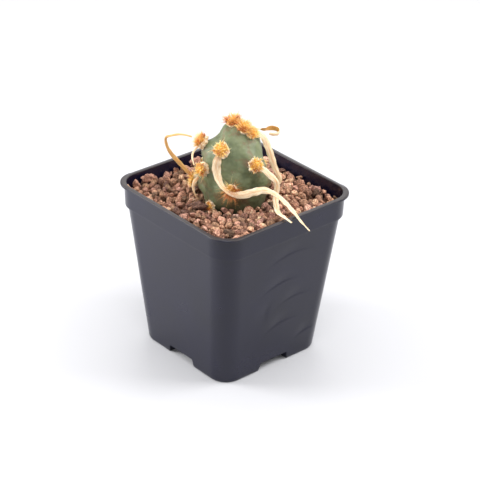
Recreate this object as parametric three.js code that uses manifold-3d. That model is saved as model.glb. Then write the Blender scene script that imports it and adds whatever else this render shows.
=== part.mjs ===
// A small pine cone cactus with papery spines, growing in grit in a square plastic nursery pot.
// Millimetres, +Z up. The origin is the middle of the pot's flat underside, and the pot's
// sides face X and Y. The plant is modelled in a frame of its own, turned about Z, whose
// -Y side is the one where the long front spine hangs.

import * as THREE from 'three';
import { mergeVertices } from 'three/addons/utils/BufferGeometryUtils.js';
import Module from 'manifold-3d';

const wasm = await Module();
wasm.setup();

// Pot
const POT_HEIGHT = 71.9;
const POT_BOTTOM_WIDTH = 52.9;
const POT_BODY_TOP_WIDTH = 66;
const BAND_TOP_WIDTH = 68.4;
const LIP_WIDTH = 70;
const BAND_HEIGHT = 8.9;
const BAND_DRAFT = 0.25;
const BAND_SHOULDER = 1.7;
const LIP_THICK = 1.0;
const WALL = 1.0;
const FLOOR = 1.2;
const BOTTOM_CORNER = 8;
const BODY_CORNER = 9;
const BAND_CORNER = 9.6;
const LIP_CORNER = 9.75;
const BOTTOM_EDGE = 0.5;
const CORNER_BULGE = 0.5;
const BULGE_FULLNESS = 0.4;
const CORNER_STEPS = 6;

// Drainage: a notch at the middle of each side leads to a pocket with a hole in its roof
const NOTCH_WIDE = 16;
const NOTCH_NARROW = 14.2;
const NOTCH_HEIGHT = 3.8;
const POCKET_DEPTH = 11.5;
const DRAIN_RADIUS = 3;
const DRAIN_SIDES = 12;
const CUT_OVERRUN = 5;

// Grit
const GRIT_LEVEL = 66;
const GRIT_HEAP = 1.6;
const GRAIN_SPACING = 5.0;
const GRAIN_RADIUS = 2.25;
const GRAIN_RADIUS_SPREAD = 0.4;
const GRAIN_JITTER = 0.6;
const GRAIN_LIFT_SPREAD = 0.6;
const GRAIN_STRETCH = [[0.85, 1.25], [0.85, 1.2], [0.75, 0.95]];
const GRAIN_SEED = 41;

// Two larger stones: a long dark one by the stem's foot and a pink one by the wall
const STONES = [
  { at: [-1.4, -17.2, 67.9], radii: [3.9, 2.1, 1.9], turn: 48 },
  { at: [-28.6, 3.7, 68.9], radii: [3.0, 3.8, 2.9], turn: 0 },
];

// Clearance that two touching pieces keep
const GAP = 0.3;
const PAD_CLEARANCE = 0.25;
const AREOLE_CLEARANCE = 0.9;

// Stem
const PLANT_TURN = THREE.MathUtils.degToRad(48);
const STEM_MIDDLE = new THREE.Vector3(0.3, 0, 78.2);
const STEM_HALF_WIDTH = 13.3;
const STEM_RISE = 21.2;
const STEM_DROP = 24.7;
const STEM_DETAIL = 7;

// Tubercles and the valleys between them: the point each lies towards, its height (a valley's
// is negative) and its spread over the stem in radians
const TUBERCLES = [
  { towards: [-12.1, -2, 90.7], height: 3.7, spread: 0.29 },
  { towards: [-5, -9.8, 92.1], height: 1.7, spread: 0.28 },
  { towards: [6.5, -9.1, 85.4], height: 1.7, spread: 0.28 },
  { towards: [12.2, -1.8, 82.9], height: 1.2, spread: 0.2 },
  { towards: [-11, -6.9, 81.9], height: 1.4, spread: 0.27 },
  { towards: [-1, -12.3, 75], height: 1.4, spread: 0.36 },
  { towards: [12.7, -1.3, 75.8], height: 1.3, spread: 0.3 },
  { towards: [-13.9, 0.9, 73], height: 2.6, spread: 0.27 },
  { towards: [-9.2, -7.6, 66.8], height: 1.4, spread: 0.28 },
  { towards: [8.9, -2.8, 65.8], height: 0.7, spread: 0.3 },
  { towards: [-0.6, -0.3, 99.4], height: 1.6, spread: 0.26 },
  { towards: [8.9, 1, 94.4], height: 0.4, spread: 0.25 },
  { towards: [-4.8, 0.9, 97.7], height: 1.7, spread: 0.18 },
  { towards: [-4.9, 12.3, 83.8], height: 1.5, spread: 0.3 },
  { towards: [6, 10.5, 86.7], height: 1.4, spread: 0.3 },
  { towards: [8.6, 11, 76], height: 1.4, spread: 0.3 },
  { towards: [-9.2, 11.3, 78.1], height: 1.5, spread: 0.3 },
  { towards: [1.7, 13.3, 73.3], height: 1.4, spread: 0.32 },
  { towards: [-6.2, 0.9, 93], height: -2.6, spread: 0.4 },
  { towards: [12.2, 2, 84.5], height: -4.8, spread: 0.37 },
  { towards: [-13.4, -3.9, 85.4], height: -0.7, spread: 0.16 },
  { towards: [0.3, 8.5, 93.9], height: -1.1, spread: 0.2 },
  { towards: [-4.5, -1.5, 96.5], height: -0.5, spread: 0.2 },
].map(({ towards, height, spread }) => ({
  direction: new THREE.Vector3(...towards).sub(STEM_MIDDLE).normalize(),
  height,
  spread,
}));

// Areoles: where on the stem, which way the woolly pad faces, the pad's radius and height,
// and the glochid bristles' number, length, furthest lean in degrees and common droop
const AREOLES = [
  { name: 'upper_left', towards: [-12.1, -2, 91.2], faces: [-0.72, -0.2, 0.66], pad: 2.9, high: 2.1,
    bristles: 12, length: 1.9, lean: 60, droop: [0, 0, 0.3] },
  { name: 'upper_front', towards: [-5, -9.8, 92.1], faces: [-0.25, -0.78, 0.57], pad: 3.2, high: 1.8,
    bristles: 12, length: 0.9, lean: 65, droop: [0, 0, 0] },
  { name: 'left', towards: [-11, -6.9, 82.5], faces: [-0.72, -0.66, 0.2], pad: 2.9, high: 1.9,
    bristles: 11, length: 1.1, lean: 62, droop: [0, 0, 0.1] },
  { name: 'right_front', towards: [6.3, -9.1, 85.4], faces: [0.35, -0.85, 0.4], pad: 2.9, high: 1.9,
    bristles: 11, length: 1.1, lean: 62, droop: [0, 0, 0] },
  { name: 'low_front', towards: [-0.7, -12.3, 77.6], faces: [-0.05, -0.98, 0.1], pad: 2.2, high: 1.4,
    bristles: 16, length: 4, lean: 84, droop: [-0.15, 0, -0.75] },
  { name: 'soil_left', towards: [-8.4, -9, 68], faces: [-0.65, -0.7, 0.1], pad: 2.2, high: 1.5,
    bristles: 8, length: 0.6, lean: 60, droop: [0, 0, 0.2] },
  { name: 'left_back', towards: [-14.2, 1.6, 73.8], faces: [-0.95, 0, 0.15], pad: 2.5, high: 2.1,
    bristles: 11, length: 1.1, lean: 70, droop: [0, 0, 0] },
  { name: 'crown_left', towards: [-1, -0.4, 99.7], faces: [-0.1, -0.25, 0.95], pad: 2.7, high: 1.3,
    bristles: 15, length: 1.8, lean: 62, droop: [-0.2, 0, 0.2] },
  { name: 'crown_middle', towards: [3, -3, 97.9], faces: [0.15, -0.4, 0.9], pad: 2.5, high: 1.4,
    bristles: 13, length: 1.6, lean: 58, droop: [0.1, 0, 0.2] },
  { name: 'crown_right', towards: [5.9, -3.7, 96.7], faces: [0.4, -0.5, 0.78], pad: 2.1, high: 1.4,
    bristles: 12, length: 1.4, lean: 58, droop: [0.1, 0, 0.1] },
  { name: 'back_upper_left', towards: [-4.9, 12.3, 83.8], faces: [-0.35, 0.85, 0.3], pad: 2.9, high: 1.9,
    bristles: 11, length: 1.1, lean: 62, droop: [0, 0, 0] },
  { name: 'back_upper_right', towards: [6, 10.5, 86.7], faces: [0.4, 0.8, 0.35], pad: 2.9, high: 1.9,
    bristles: 11, length: 1.1, lean: 62, droop: [0, 0, 0] },
  { name: 'back_right', towards: [8.6, 11, 76], faces: [0.62, 0.78, 0.05], pad: 2.6, high: 1.7,
    bristles: 11, length: 1.1, lean: 62, droop: [0, 0, 0] },
  { name: 'back_left', towards: [-9.2, 11.3, 78.1], faces: [-0.6, 0.8, 0.1], pad: 2.8, high: 1.9,
    bristles: 11, length: 1.1, lean: 62, droop: [0, 0, 0] },
  { name: 'back_low', towards: [1.7, 13.3, 73.3], faces: [0.1, 0.98, -0.05], pad: 2.4, high: 1.5,
    bristles: 12, length: 1.9, lean: 78, droop: [0, 0, -0.3] },
];
const PAD_SINK = 0.8;
const PAD_SIDES = 10;
const DISH_DEPTH = 0.5;
const TUFT_SHARE = 0.68;
const TUFT_HIGH = 1.1;
const TUFT_SIDES = 7;

// Profiles of a pad's side and of a tuft's low dome, as shares of the radius and the height
const PAD_FOOT_SHARE = 0.85;
const PAD_BELLY_LEVEL = 0.5;
const PAD_BROW_SHARE = 0.88;
const DOME_PROFILE = [[0, 0], [1, 0], [0.9, 0.6], [0.5, 1], [0, 1]];

// Bristles: sunk this share of the pad's radius apart, with lengths and turns drawn by chance
const BRISTLE_RADIUS = 0.38;
const BRISTLE_SIDES = 3;
const BRISTLE_SPREAD = 0.3;
const BRISTLE_LENGTHS = [0.8, 1.2];
const BRISTLE_TURN = 0.5;
const BRISTLE_SEED = 7;
const GOLDEN_ANGLE = Math.PI * (3 - Math.sqrt(5));

// Papery spines: points from root to tip with the strip's width there and the way its flat
// side faces
const SPINE_THICK = 0.6;
const SPINE_STEPS = 2;
const SPINES = [
  { name: 'long_front', route: [
    { at: [-6.1, -11.4, 91.3], wide: 2.5, faces: [0.1, -0.8, 0.5] },
    { at: [-6.9, -12.5, 88.6], wide: 3.3, faces: [0, -0.95, 0.2] },
    { at: [-7.1, -12.4, 85.9], wide: 3.5, faces: [-0.1, -0.95, 0.1] },
    { at: [-6.5, -13.3, 82.8], wide: 3.3, faces: [-0.1, -0.95, 0.3] },
    { at: [-5.2, -14.8, 80.1], wide: 2.8, faces: [0.1, -0.9, 0.5] },
    { at: [-3.3, -16.3, 78.4], wide: 2.1, faces: [0.2, -0.75, 0.75] },
    { at: [-0.1, -17.3, 77], wide: 2.5, faces: [0.2, -0.8, 0.6] },
    { at: [3.7, -17.3, 77], wide: 3.1, faces: [0, -0.95, 0.3] },
    { at: [7.6, -15.9, 77.5], wide: 3.1, faces: [0, -0.95, 0.3] },
    { at: [11.3, -14.3, 77.7], wide: 2.8, faces: [-0.1, -0.85, 0.5] },
    { at: [14.2, -14.1, 77.1], wide: 2.2, faces: [-0.1, -0.6, 0.8] },
    { at: [17.2, -15, 75.8], wide: 1.9, faces: [0, -0.4, 0.9] },
    { at: [20.2, -18.8, 75], wide: 2.1, faces: [0.1, -0.2, 0.97] },
    { at: [23.6, -23.7, 73.5], wide: 2.0, faces: [0.2, 0, 0.97] },
    { at: [26.6, -27.1, 71.1], wide: 1.6, faces: [0.4, 0.1, 0.9] },
    { at: [29.9, -30.1, 68.8], wide: 0.8, faces: [0.5, 0.1, 0.85] },
  ] },
  { name: 'right_front', route: [
    { at: [8.5, -11.9, 86.3], wide: 2.1, faces: [0.3, -0.75, 0.6] },
    { at: [11.2, -11.1, 85.3], wide: 2.5, faces: [0.4, -0.7, 0.6] },
    { at: [13.6, -10.1, 82.6], wide: 2.5, faces: [0.5, -0.7, 0.5] },
    { at: [16, -9.6, 80], wide: 2.4, faces: [0.5, -0.8, 0.2] },
    { at: [16.9, -9.2, 77.1], wide: 2.4, faces: [0.3, -0.95, 0] },
    { at: [16.5, -10.1, 73.9], wide: 2.3, faces: [0.1, -0.9, 0.3] },
    { at: [16.5, -12.2, 72.9], wide: 2.3, faces: [0, -0.5, 0.85] },
    { at: [16.8, -16.2, 72], wide: 2.3, faces: [0, 0, 1] },
    { at: [17.8, -22.1, 71.9], wide: 2.1, faces: [0, 0.1, 1] },
    { at: [19.8, -27.2, 73.1], wide: 1.5, faces: [0, 0.1, 1] },
    { at: [22.8, -30.7, 72.5], wide: 0.8, faces: [0.2, -0.1, 1] },
  ] },
  { name: 'crown_right', route: [
    { at: [7.4, -3, 97.7], wide: 1.9, faces: [0.5, -0.5, 0.8] },
    { at: [10.4, -2.4, 95.7], wide: 2.6, faces: [0.5, -0.75, 0.5] },
    { at: [12.2, -2.2, 92.4], wide: 2.7, faces: [0.35, -0.9, 0.2] },
    { at: [13.5, -2.2, 89], wide: 2.7, faces: [0.3, -0.95, 0.1] },
    { at: [14.7, -2.1, 85.3], wide: 2.7, faces: [0.25, -0.95, 0.1] },
    { at: [15.7, -2.2, 82.1], wide: 2.4, faces: [0.25, -0.95, 0.1] },
    { at: [17.1, -2.5, 79.1], wide: 1.9, faces: [0.2, -0.95, 0.1] },
    { at: [18.2, -2.9, 76.7], wide: 1.5, faces: [0.2, -0.95, 0.1] },
    { at: [18.1, -3.2, 75.1], wide: 0.8, faces: [0.2, -0.95, 0] },
  ] },
  { name: 'crown_curl', route: [
    { at: [7.7, -1.3, 97.8], wide: 1.3, faces: [0.5, 0.3, 0.8] },
    { at: [9.3, 0.8, 97.2], wide: 1.5, faces: [0.3, 0.6, 0.6] },
    { at: [11.3, 1.8, 96.5], wide: 1.6, faces: [0.1, 1, 0.2] },
    { at: [12.6, 3.8, 96], wide: 1.9, faces: [-0.7, 0.7, 0] },
    { at: [14.5, 4.7, 95.8], wide: 2.0, faces: [0, 1, 0] },
    { at: [16.5, 3.4, 95.9], wide: 2.0, faces: [0.75, 0.65, 0] },
    { at: [17.2, 1.4, 96.1], wide: 1.9, faces: [1, 0, 0] },
    { at: [16.6, -0.5, 96], wide: 1.7, faces: [0.7, -0.7, 0] },
    { at: [15, -1.3, 95.9], wide: 1.5, faces: [0.1, -1, 0] },
    { at: [13.2, -1, 96], wide: 0.9, faces: [-0.3, -1, 0] },
  ] },
  { name: 'left_fold', route: [
    { at: [-17.6, 2.4, 75], wide: 1.1, faces: [0.5, -0.8, 0.3] },
    { at: [-20.3, 2.7, 77.9], wide: 1.7, faces: [0.5, -0.8, 0.3] },
    { at: [-23.4, 2.2, 81.8], wide: 1.8, faces: [0.45, -0.8, 0.35] },
    { at: [-25.4, 1.7, 84.5], wide: 1.6, faces: [0.4, -0.8, 0.3] },
    { at: [-26.9, 1.2, 87.5], wide: 1.3, faces: [0.3, -0.9, 0.2] },
    { at: [-27.7, 0.8, 90.8], wide: 1.1, faces: [0.2, -0.95, 0.1] },
    { at: [-27.4, 0.3, 92.5], wide: 1.0, faces: [0.1, -0.95, 0.3] },
    { at: [-25.7, -0.2, 93.4], wide: 1.0, faces: [0, -0.7, 0.7] },
    { at: [-22.7, -0.6, 94.3], wide: 1.0, faces: [0, -0.5, 0.85] },
    { at: [-19.9, -1.1, 94.4], wide: 0.9, faces: [0, -0.5, 0.85] },
    { at: [-17.2, -1.5, 93.9], wide: 0.8, faces: [0, -0.5, 0.85] },
  ] },
  { name: 'left_thread', route: [
    { at: [-14.5, -2.9, 90.5], wide: 0.8, faces: [-0.7, -0.7, 0] },
    { at: [-16.4, -3, 88.2], wide: 1.0, faces: [-0.7, -0.7, 0] },
    { at: [-16.9, -3.6, 85.8], wide: 1.0, faces: [-0.7, -0.7, 0] },
    { at: [-16.1, -5.4, 83.4], wide: 0.8, faces: [-0.7, -0.7, 0] },
  ] },
  { name: 'left_low', route: [
    { at: [-14.1, -8.1, 79.4], wide: 1.1, faces: [-0.5, -0.85, 0.1] },
    { at: [-15.7, -7.9, 77.3], wide: 1.6, faces: [-0.5, -0.85, 0.1] },
    { at: [-16.2, -6.7, 74.3], wide: 1.5, faces: [-0.5, -0.85, -0.1] },
    { at: [-15.9, -6.7, 72.2], wide: 1.1, faces: [-0.6, -0.8, -0.1] },
    { at: [-15.2, -6.4, 70.3], wide: 0.9, faces: [-0.6, -0.8, -0.2] },
    { at: [-14.4, -6, 68.6], wide: 0.8, faces: [-0.6, -0.8, -0.2] },
  ] },
  { name: 'back_long', route: [
    { at: [7.3, 13.7, 86.8], wide: 2.3, faces: [0.4, 0.8, 0.4] },
    { at: [7.8, 16.4, 85.3], wide: 3.0, faces: [0.3, 0.8, 0.5] },
    { at: [7.2, 18.3, 81.5], wide: 3.2, faces: [0.2, 0.95, 0.2] },
    { at: [5.8, 19, 77.1], wide: 2.8, faces: [0.1, 0.98, 0.1] },
    { at: [4.9, 20.3, 73.4], wide: 2.3, faces: [0, 0.85, 0.5] },
    { at: [4.3, 23, 70.6], wide: 1.5, faces: [0, 0.6, 0.8] },
    { at: [4.8, 25.4, 69], wide: 0.8, faces: [0, 0.4, 0.9] },
  ] },
  { name: 'back_left', route: [
    { at: [-11.2, 14, 77.7], wide: 1.9, faces: [-0.6, 0.8, 0.2] },
    { at: [-12.8, 16.2, 76.2], wide: 2.6, faces: [-0.5, 0.7, 0.5] },
    { at: [-13.2, 17.9, 73.3], wide: 2.6, faces: [-0.3, 0.9, 0.3] },
    { at: [-12.2, 19.4, 70.8], wide: 1.9, faces: [0, 0.8, 0.6] },
    { at: [-10.1, 21.4, 69.2], wide: 0.8, faces: [0.1, 0.6, 0.8] },
  ] },
  { name: 'back_low', route: [
    { at: [2.2, 16.1, 72.7], wide: 1.3, faces: [0.1, 0.95, 0.2] },
    { at: [1.8, 17.8, 71.6], wide: 1.9, faces: [-0.2, 0.7, 0.6] },
    { at: [0.1, 19.3, 70.2], wide: 1.7, faces: [-0.2, 0.5, 0.8] },
    { at: [-2.7, 20.5, 69.1], wide: 0.8, faces: [-0.1, 0.4, 0.9] },
  ] },
];

// Colours and finish
const FINISH = {
  pot: { color: 0x50505a, roughness: 0.42 },
  grit: { color: 0xb58a70, roughness: 0.95 },
  stem: { color: 0x6f7658, roughness: 0.7 },
  wool: { color: 0xf2d5a4, roughness: 1 },
  glochids: { color: 0xd8933f, roughness: 0.8 },
  spine: { color: 0xecd3b2, roughness: 0.75 },
};

const X_AXIS = new THREE.Vector3(1, 0, 0);
const Z_AXIS = new THREE.Vector3(0, 0, 1);
const QUARTER_TURN = Math.PI / 2;
const MERGE_DISTANCE = 1e-4;

// A seeded source of numbers between 0 and 1, the same on every run: a linear congruential
// generator on 32-bit whole numbers
const RANDOM_FACTOR = 1664525;
const RANDOM_STEP = 1013904223;
const RANDOM_RANGE = 2 ** 32;

function seededNumbers(seed) {
  let state = seed;
  return () => {
    state = (Math.imul(state, RANDOM_FACTOR) + RANDOM_STEP) >>> 0;
    return state / RANDOM_RANGE;
  };
}

// A closed geometry as a solid that can be joined and cut
function solidOf(geometry) {
  const bare = geometry.clone();
  bare.deleteAttribute('normal');
  bare.deleteAttribute('uv');
  const merged = mergeVertices(bare, MERGE_DISTANCE);
  return new wasm.Manifold(new wasm.Mesh({
    numProp: 3,
    vertProperties: new Float32Array(merged.attributes.position.array),
    triVerts: new Uint32Array(merged.index.array),
  }));
}

// The largest body of a solid, without the scraps that a cut can leave
function largestBody(solid) {
  return solid.decompose().reduce((best, body) => (body.volume() > best.volume() ? body : best));
}

function geometryOf(solid) {
  const { vertProperties, triVerts } = solid.getMesh();
  const geometry = new THREE.BufferGeometry();
  geometry.setAttribute('position', new THREE.BufferAttribute(vertProperties, 3));
  geometry.setIndex(new THREE.BufferAttribute(triVerts, 1));
  geometry.computeVertexNormals();
  return geometry;
}

function joined(solids) {
  return solids.reduce((whole, solid) => whole.add(solid));
}

function namedMesh(name, geometry, finish) {
  const material = new THREE.MeshStandardMaterial({ ...finish, metalness: 0 });
  const mesh = new THREE.Mesh(geometry, material);
  mesh.name = name;
  return mesh;
}

// A closed body through rings of points, with the same number of points in each ring and the
// two ends closed round their middle points. Seen from the last ring's end the points run
// anticlockwise.
function bodyThroughRings(rings) {
  const count = rings[0].length;
  const positions = rings.flat().flatMap((point) => point.toArray());
  const indices = [];
  for (let ring = 0; ring + 1 < rings.length; ring++) {
    for (let step = 0; step < count; step++) {
      const low = ring * count + step;
      const lowNext = ring * count + (step + 1) % count;
      indices.push(low, lowNext, lowNext + count);
      indices.push(low, lowNext + count, low + count);
    }
  }
  const lastRing = (rings.length - 1) * count;
  for (const [ring, first, outward] of [[rings[0], 0, false], [rings.at(-1), lastRing, true]]) {
    const middle = positions.length / 3;
    const centre = ring.reduce((sum, point) => sum.add(point), new THREE.Vector3());
    positions.push(...centre.divideScalar(count).toArray());
    for (let step = 0; step < count; step++) {
      const here = first + step;
      const next = first + (step + 1) % count;
      indices.push(...(outward ? [middle, here, next] : [middle, next, here]));
    }
  }
  const geometry = new THREE.BufferGeometry();
  geometry.setAttribute('position', new THREE.Float32BufferAttribute(positions, 3));
  geometry.setIndex(indices);
  return geometry;
}

// A level ring round the pot: a square with round corners. Each corner arc can swell
// outwards by a bulge, which runs out to nothing at both ends of the arc.
function roundedSquare(half, corner, z, bulge = 0) {
  const points = [];
  for (let side = 0; side < 4; side++) {
    const sideTurn = side * QUARTER_TURN;
    const centre = new THREE.Vector3(half - corner, half - corner, z).applyAxisAngle(Z_AXIS, sideTurn);
    for (let step = 0; step <= CORNER_STEPS; step++) {
      const turn = QUARTER_TURN * step / CORNER_STEPS;
      const reach = corner + bulge * Math.abs(Math.sin(2 * turn)) ** BULGE_FULLNESS;
      const out = new THREE.Vector3(reach, 0, 0).applyAxisAngle(Z_AXIS, sideTurn + turn);
      points.push(out.add(centre));
    }
  }
  return points;
}

const BAND_BOTTOM = POT_HEIGHT - BAND_HEIGHT;
const SHOULDER_BOTTOM = BAND_BOTTOM - BAND_SHOULDER;

// Half the pot body's width at a height: the walls lean out evenly
function bodyHalf(z) {
  return THREE.MathUtils.lerp(POT_BOTTOM_WIDTH, POT_BODY_TOP_WIDTH, z / BAND_BOTTOM) / 2;
}

function bodyCorner(z) {
  return THREE.MathUtils.lerp(BOTTOM_CORNER, BODY_CORNER, z / BAND_BOTTOM);
}

// Half the rim band's width at a height
function bandHalf(z) {
  return BAND_TOP_WIDTH / 2 - BAND_DRAFT * (POT_HEIGHT - z) / BAND_HEIGHT;
}

// The room inside the pot, drawn in from the walls and floor by a margin, up to a top whose
// height can differ from place to place
function potRoom(margin, topAt) {
  const inset = WALL + margin;
  const ring = (half, corner, z) => roundedSquare(half - inset, corner - inset, z);
  const turn = BAND_BOTTOM + WALL - margin;
  const levels = [FLOOR + margin, SHOULDER_BOTTOM + WALL - margin].map(
    (z) => ring(bodyHalf(z), bodyCorner(z), z));
  levels.push(ring(bandHalf(turn), BAND_CORNER, turn));
  levels.push(ring(bandHalf(POT_HEIGHT), BAND_CORNER, 0).map((point) => point.setZ(topAt(point))));
  return solidOf(bodyThroughRings(levels));
}

// A raised block of floor over each drain pocket, grown by a margin
function pocketBlocks(margin) {
  const wide = NOTCH_WIDE + 2 * WALL + 2 * margin;
  const tall = NOTCH_HEIGHT + FLOOR + margin;
  const inner = POT_BOTTOM_WIDTH / 2 - POCKET_DEPTH - WALL - margin;
  const deep = POT_BOTTOM_WIDTH / 2 + POCKET_DEPTH - inner;
  const blocks = [];
  for (let side = 0; side < 4; side++) {
    const block = new THREE.BoxGeometry(deep, wide, tall);
    block.translate(inner + deep / 2, 0, tall / 2);
    block.rotateZ(side * QUARTER_TURN);
    blocks.push(solidOf(block));
  }
  return joined(blocks);
}

// The notches, pockets and drain holes cut out of the foot of the pot
function drainCuts() {
  const slope = (NOTCH_WIDE - NOTCH_NARROW) / 2 / NOTCH_HEIGHT;
  const halfBelow = NOTCH_WIDE / 2 + slope * CUT_OVERRUN;
  const outline = new THREE.Shape([
    new THREE.Vector2(-halfBelow, -CUT_OVERRUN),
    new THREE.Vector2(halfBelow, -CUT_OVERRUN),
    new THREE.Vector2(NOTCH_NARROW / 2, NOTCH_HEIGHT),
    new THREE.Vector2(-NOTCH_NARROW / 2, NOTCH_HEIGHT),
  ]);
  const inner = POT_BOTTOM_WIDTH / 2 - POCKET_DEPTH;
  const extrusion = { depth: POCKET_DEPTH + CUT_OVERRUN, bevelEnabled: false };
  const cuts = [];
  for (let side = 0; side < 4; side++) {
    const pocket = new THREE.ExtrudeGeometry(outline, extrusion);
    pocket.rotateX(QUARTER_TURN).rotateZ(QUARTER_TURN).translate(inner, 0, 0);
    pocket.rotateZ(side * QUARTER_TURN);
    const tall = 2 * (NOTCH_HEIGHT + FLOOR);
    const drain = new THREE.CylinderGeometry(DRAIN_RADIUS, DRAIN_RADIUS, tall, DRAIN_SIDES);
    drain.rotateX(QUARTER_TURN).translate(inner + DRAIN_RADIUS + 2 * WALL, 0, tall / 2);
    drain.rotateZ(side * QUARTER_TURN);
    cuts.push(solidOf(pocket), solidOf(drain));
  }
  return joined(cuts);
}

function potSolid() {
  const lipBottom = POT_HEIGHT - LIP_THICK;
  const body = solidOf(bodyThroughRings([
    roundedSquare(bodyHalf(0) - BOTTOM_EDGE, BOTTOM_CORNER - BOTTOM_EDGE, 0),
    roundedSquare(bodyHalf(BOTTOM_EDGE), bodyCorner(BOTTOM_EDGE), BOTTOM_EDGE),
    roundedSquare(bodyHalf(SHOULDER_BOTTOM), bodyCorner(SHOULDER_BOTTOM), SHOULDER_BOTTOM),
    roundedSquare(bandHalf(BAND_BOTTOM), BAND_CORNER, BAND_BOTTOM),
    roundedSquare(bandHalf(POT_HEIGHT), BAND_CORNER, POT_HEIGHT),
  ]));
  const lip = solidOf(bodyThroughRings([lipBottom, POT_HEIGHT].map(
    (z) => roundedSquare(LIP_WIDTH / 2, LIP_CORNER, z, CORNER_BULGE))));
  const room = potRoom(0, () => POT_HEIGHT + WALL).subtract(pocketBlocks(0));
  return body.add(lip).subtract(room).subtract(drainCuts());
}

// The stem's radius in a direction from its middle: an egg of revolution with a rounded hill
// or hollow for each tubercle and valley
function stemRadius(direction) {
  const level = Math.hypot(direction.x, direction.y) / STEM_HALF_WIDTH;
  const upright = direction.z / (direction.z > 0 ? STEM_RISE : STEM_DROP);
  let radius = 1 / Math.hypot(level, upright);
  for (const tubercle of TUBERCLES) {
    const away = 2 * (1 - direction.dot(tubercle.direction));
    radius += tubercle.height * Math.exp(-away / tubercle.spread ** 2);
  }
  return radius;
}

function stemPoint(direction, lift = 0) {
  return direction.clone().multiplyScalar(stemRadius(direction) + lift).add(STEM_MIDDLE);
}

function stemGeometry(lift = 0) {
  const geometry = new THREE.IcosahedronGeometry(1, STEM_DETAIL);
  const position = geometry.attributes.position;
  for (let index = 0; index < position.count; index++) {
    const direction = new THREE.Vector3().fromBufferAttribute(position, index).normalize();
    position.setXYZ(index, ...stemPoint(direction, lift).toArray());
  }
  return geometry;
}

// A papery spine: a flat strip carried along a smooth path through its route's points. Each
// station is a rectangle, and both flat faces are split into triangles the same way.
function spineSolid(route, grow = 0) {
  const path = new THREE.CatmullRomCurve3(route.map(({ at }) => new THREE.Vector3(...at)));
  const spans = route.length - 1;
  const stations = spans * SPINE_STEPS;
  const rings = [];
  for (let station = 0; station <= stations; station++) {
    const share = station / stations;
    const span = Math.min(Math.floor(share * spans), spans - 1);
    const within = share * spans - span;
    const near = route[span];
    const far = route[span + 1];
    const farFacing = new THREE.Vector3(...far.faces).normalize();
    const facing = new THREE.Vector3(...near.faces).normalize().lerp(farFacing, within);
    const tangent = path.getTangent(share);
    const across = new THREE.Vector3().crossVectors(facing, tangent).normalize();
    const flat = new THREE.Vector3().crossVectors(tangent, across).normalize();
    const end = station === 0 ? -grow : station === stations ? grow : 0;
    const centre = path.getPoint(share).addScaledVector(tangent, end);
    across.multiplyScalar(THREE.MathUtils.lerp(near.wide, far.wide, within) / 2 + grow);
    flat.multiplyScalar(SPINE_THICK / 2 + grow);
    rings.push([[1, 1], [-1, 1], [-1, -1], [1, -1]].map(
      ([side, face]) => centre.clone().addScaledVector(across, side).addScaledVector(flat, face)));
  }
  return solidOf(bodyThroughRings(rings));
}

// An areole's own place: the point of the stem under it and the turn that faces it outwards
function areolePlace({ towards, faces }) {
  const direction = new THREE.Vector3(...towards).sub(STEM_MIDDLE).normalize();
  const outward = new THREE.Vector3(...faces).normalize();
  const turn = new THREE.Quaternion().setFromUnitVectors(Z_AXIS, outward);
  return { foot: stemPoint(direction), outward, turn };
}

function placed(geometry, turn, position) {
  return geometry.applyQuaternion(turn).translate(position.x, position.y, position.z);
}

// A round body turned about the upright axis from a profile of [radius, height] corners
function turnedBody(profile, sides) {
  const corners = profile.map(([radius, height]) => new THREE.Vector2(radius, height));
  return new THREE.LatheGeometry(corners, sides).rotateX(QUARTER_TURN);
}

// The woolly pad: a thick round cushion with a shallow dish in its top
function woolPad(areole, grow = 0) {
  const { foot, turn } = areolePlace(areole);
  const rim = areole.pad + grow;
  const top = areole.high + grow;
  const dish = areole.pad * TUFT_SHARE + GAP - grow;
  const pad = turnedBody([
    [0, -PAD_SINK],
    [PAD_FOOT_SHARE * rim, -PAD_SINK],
    [rim, PAD_BELLY_LEVEL * top],
    [PAD_BROW_SHARE * rim, top],
    [dish, top - DISH_DEPTH],
    [0, top - DISH_DEPTH],
  ], PAD_SIDES);
  return solidOf(placed(pad, turn, foot));
}

// The heart of a tuft: the middle of its low dome's underside, in the pad's dish
function tuftHeart({ foot, outward }, areole) {
  return foot.clone().addScaledVector(outward, areole.high - DISH_DEPTH + GAP);
}

function tuftDome(areole) {
  const place = areolePlace(areole);
  const radius = areole.pad * TUFT_SHARE;
  const profile = DOME_PROFILE.map(([share, level]) => [share * radius, level * TUFT_HIGH]);
  return solidOf(placed(turnedBody(profile, TUFT_SIDES), place.turn, tuftHeart(place, areole)));
}

// The glochids: three-sided bristles in a spiral over the dome, their roots sunk in it
function glochidTuft(areole, random) {
  const place = areolePlace(areole);
  const heart = tuftHeart(place, areole).addScaledVector(place.outward, TUFT_HIGH / 2);
  const droop = new THREE.Vector3(...areole.droop);
  const parts = [tuftDome(areole)];
  for (let index = 0; index < areole.bristles; index++) {
    const share = Math.sqrt((index + 0.5) / areole.bristles);
    const lean = THREE.MathUtils.degToRad(areole.lean) * share;
    const round = index * GOLDEN_ANGLE + BRISTLE_TURN * random();
    const upright = new THREE.Vector3().setFromSphericalCoords(1, lean, round);
    const direction = upright.applyAxisAngle(X_AXIS, QUARTER_TURN).applyQuaternion(place.turn);
    direction.addScaledVector(droop, Math.sin(lean)).normalize();
    const length = areole.length * THREE.MathUtils.lerp(...BRISTLE_LENGTHS, random()) + TUFT_HIGH;
    const start = areole.pad * BRISTLE_SPREAD * Math.sin(lean);
    const bristle = new THREE.ConeGeometry(BRISTLE_RADIUS, length, BRISTLE_SIDES).rotateX(QUARTER_TURN);
    const aimed = new THREE.Quaternion().setFromUnitVectors(Z_AXIS, direction);
    const middle = heart.clone().addScaledVector(direction, start + length / 2);
    parts.push(solidOf(placed(bristle, aimed, middle)));
  }
  return joined(parts);
}

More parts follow.
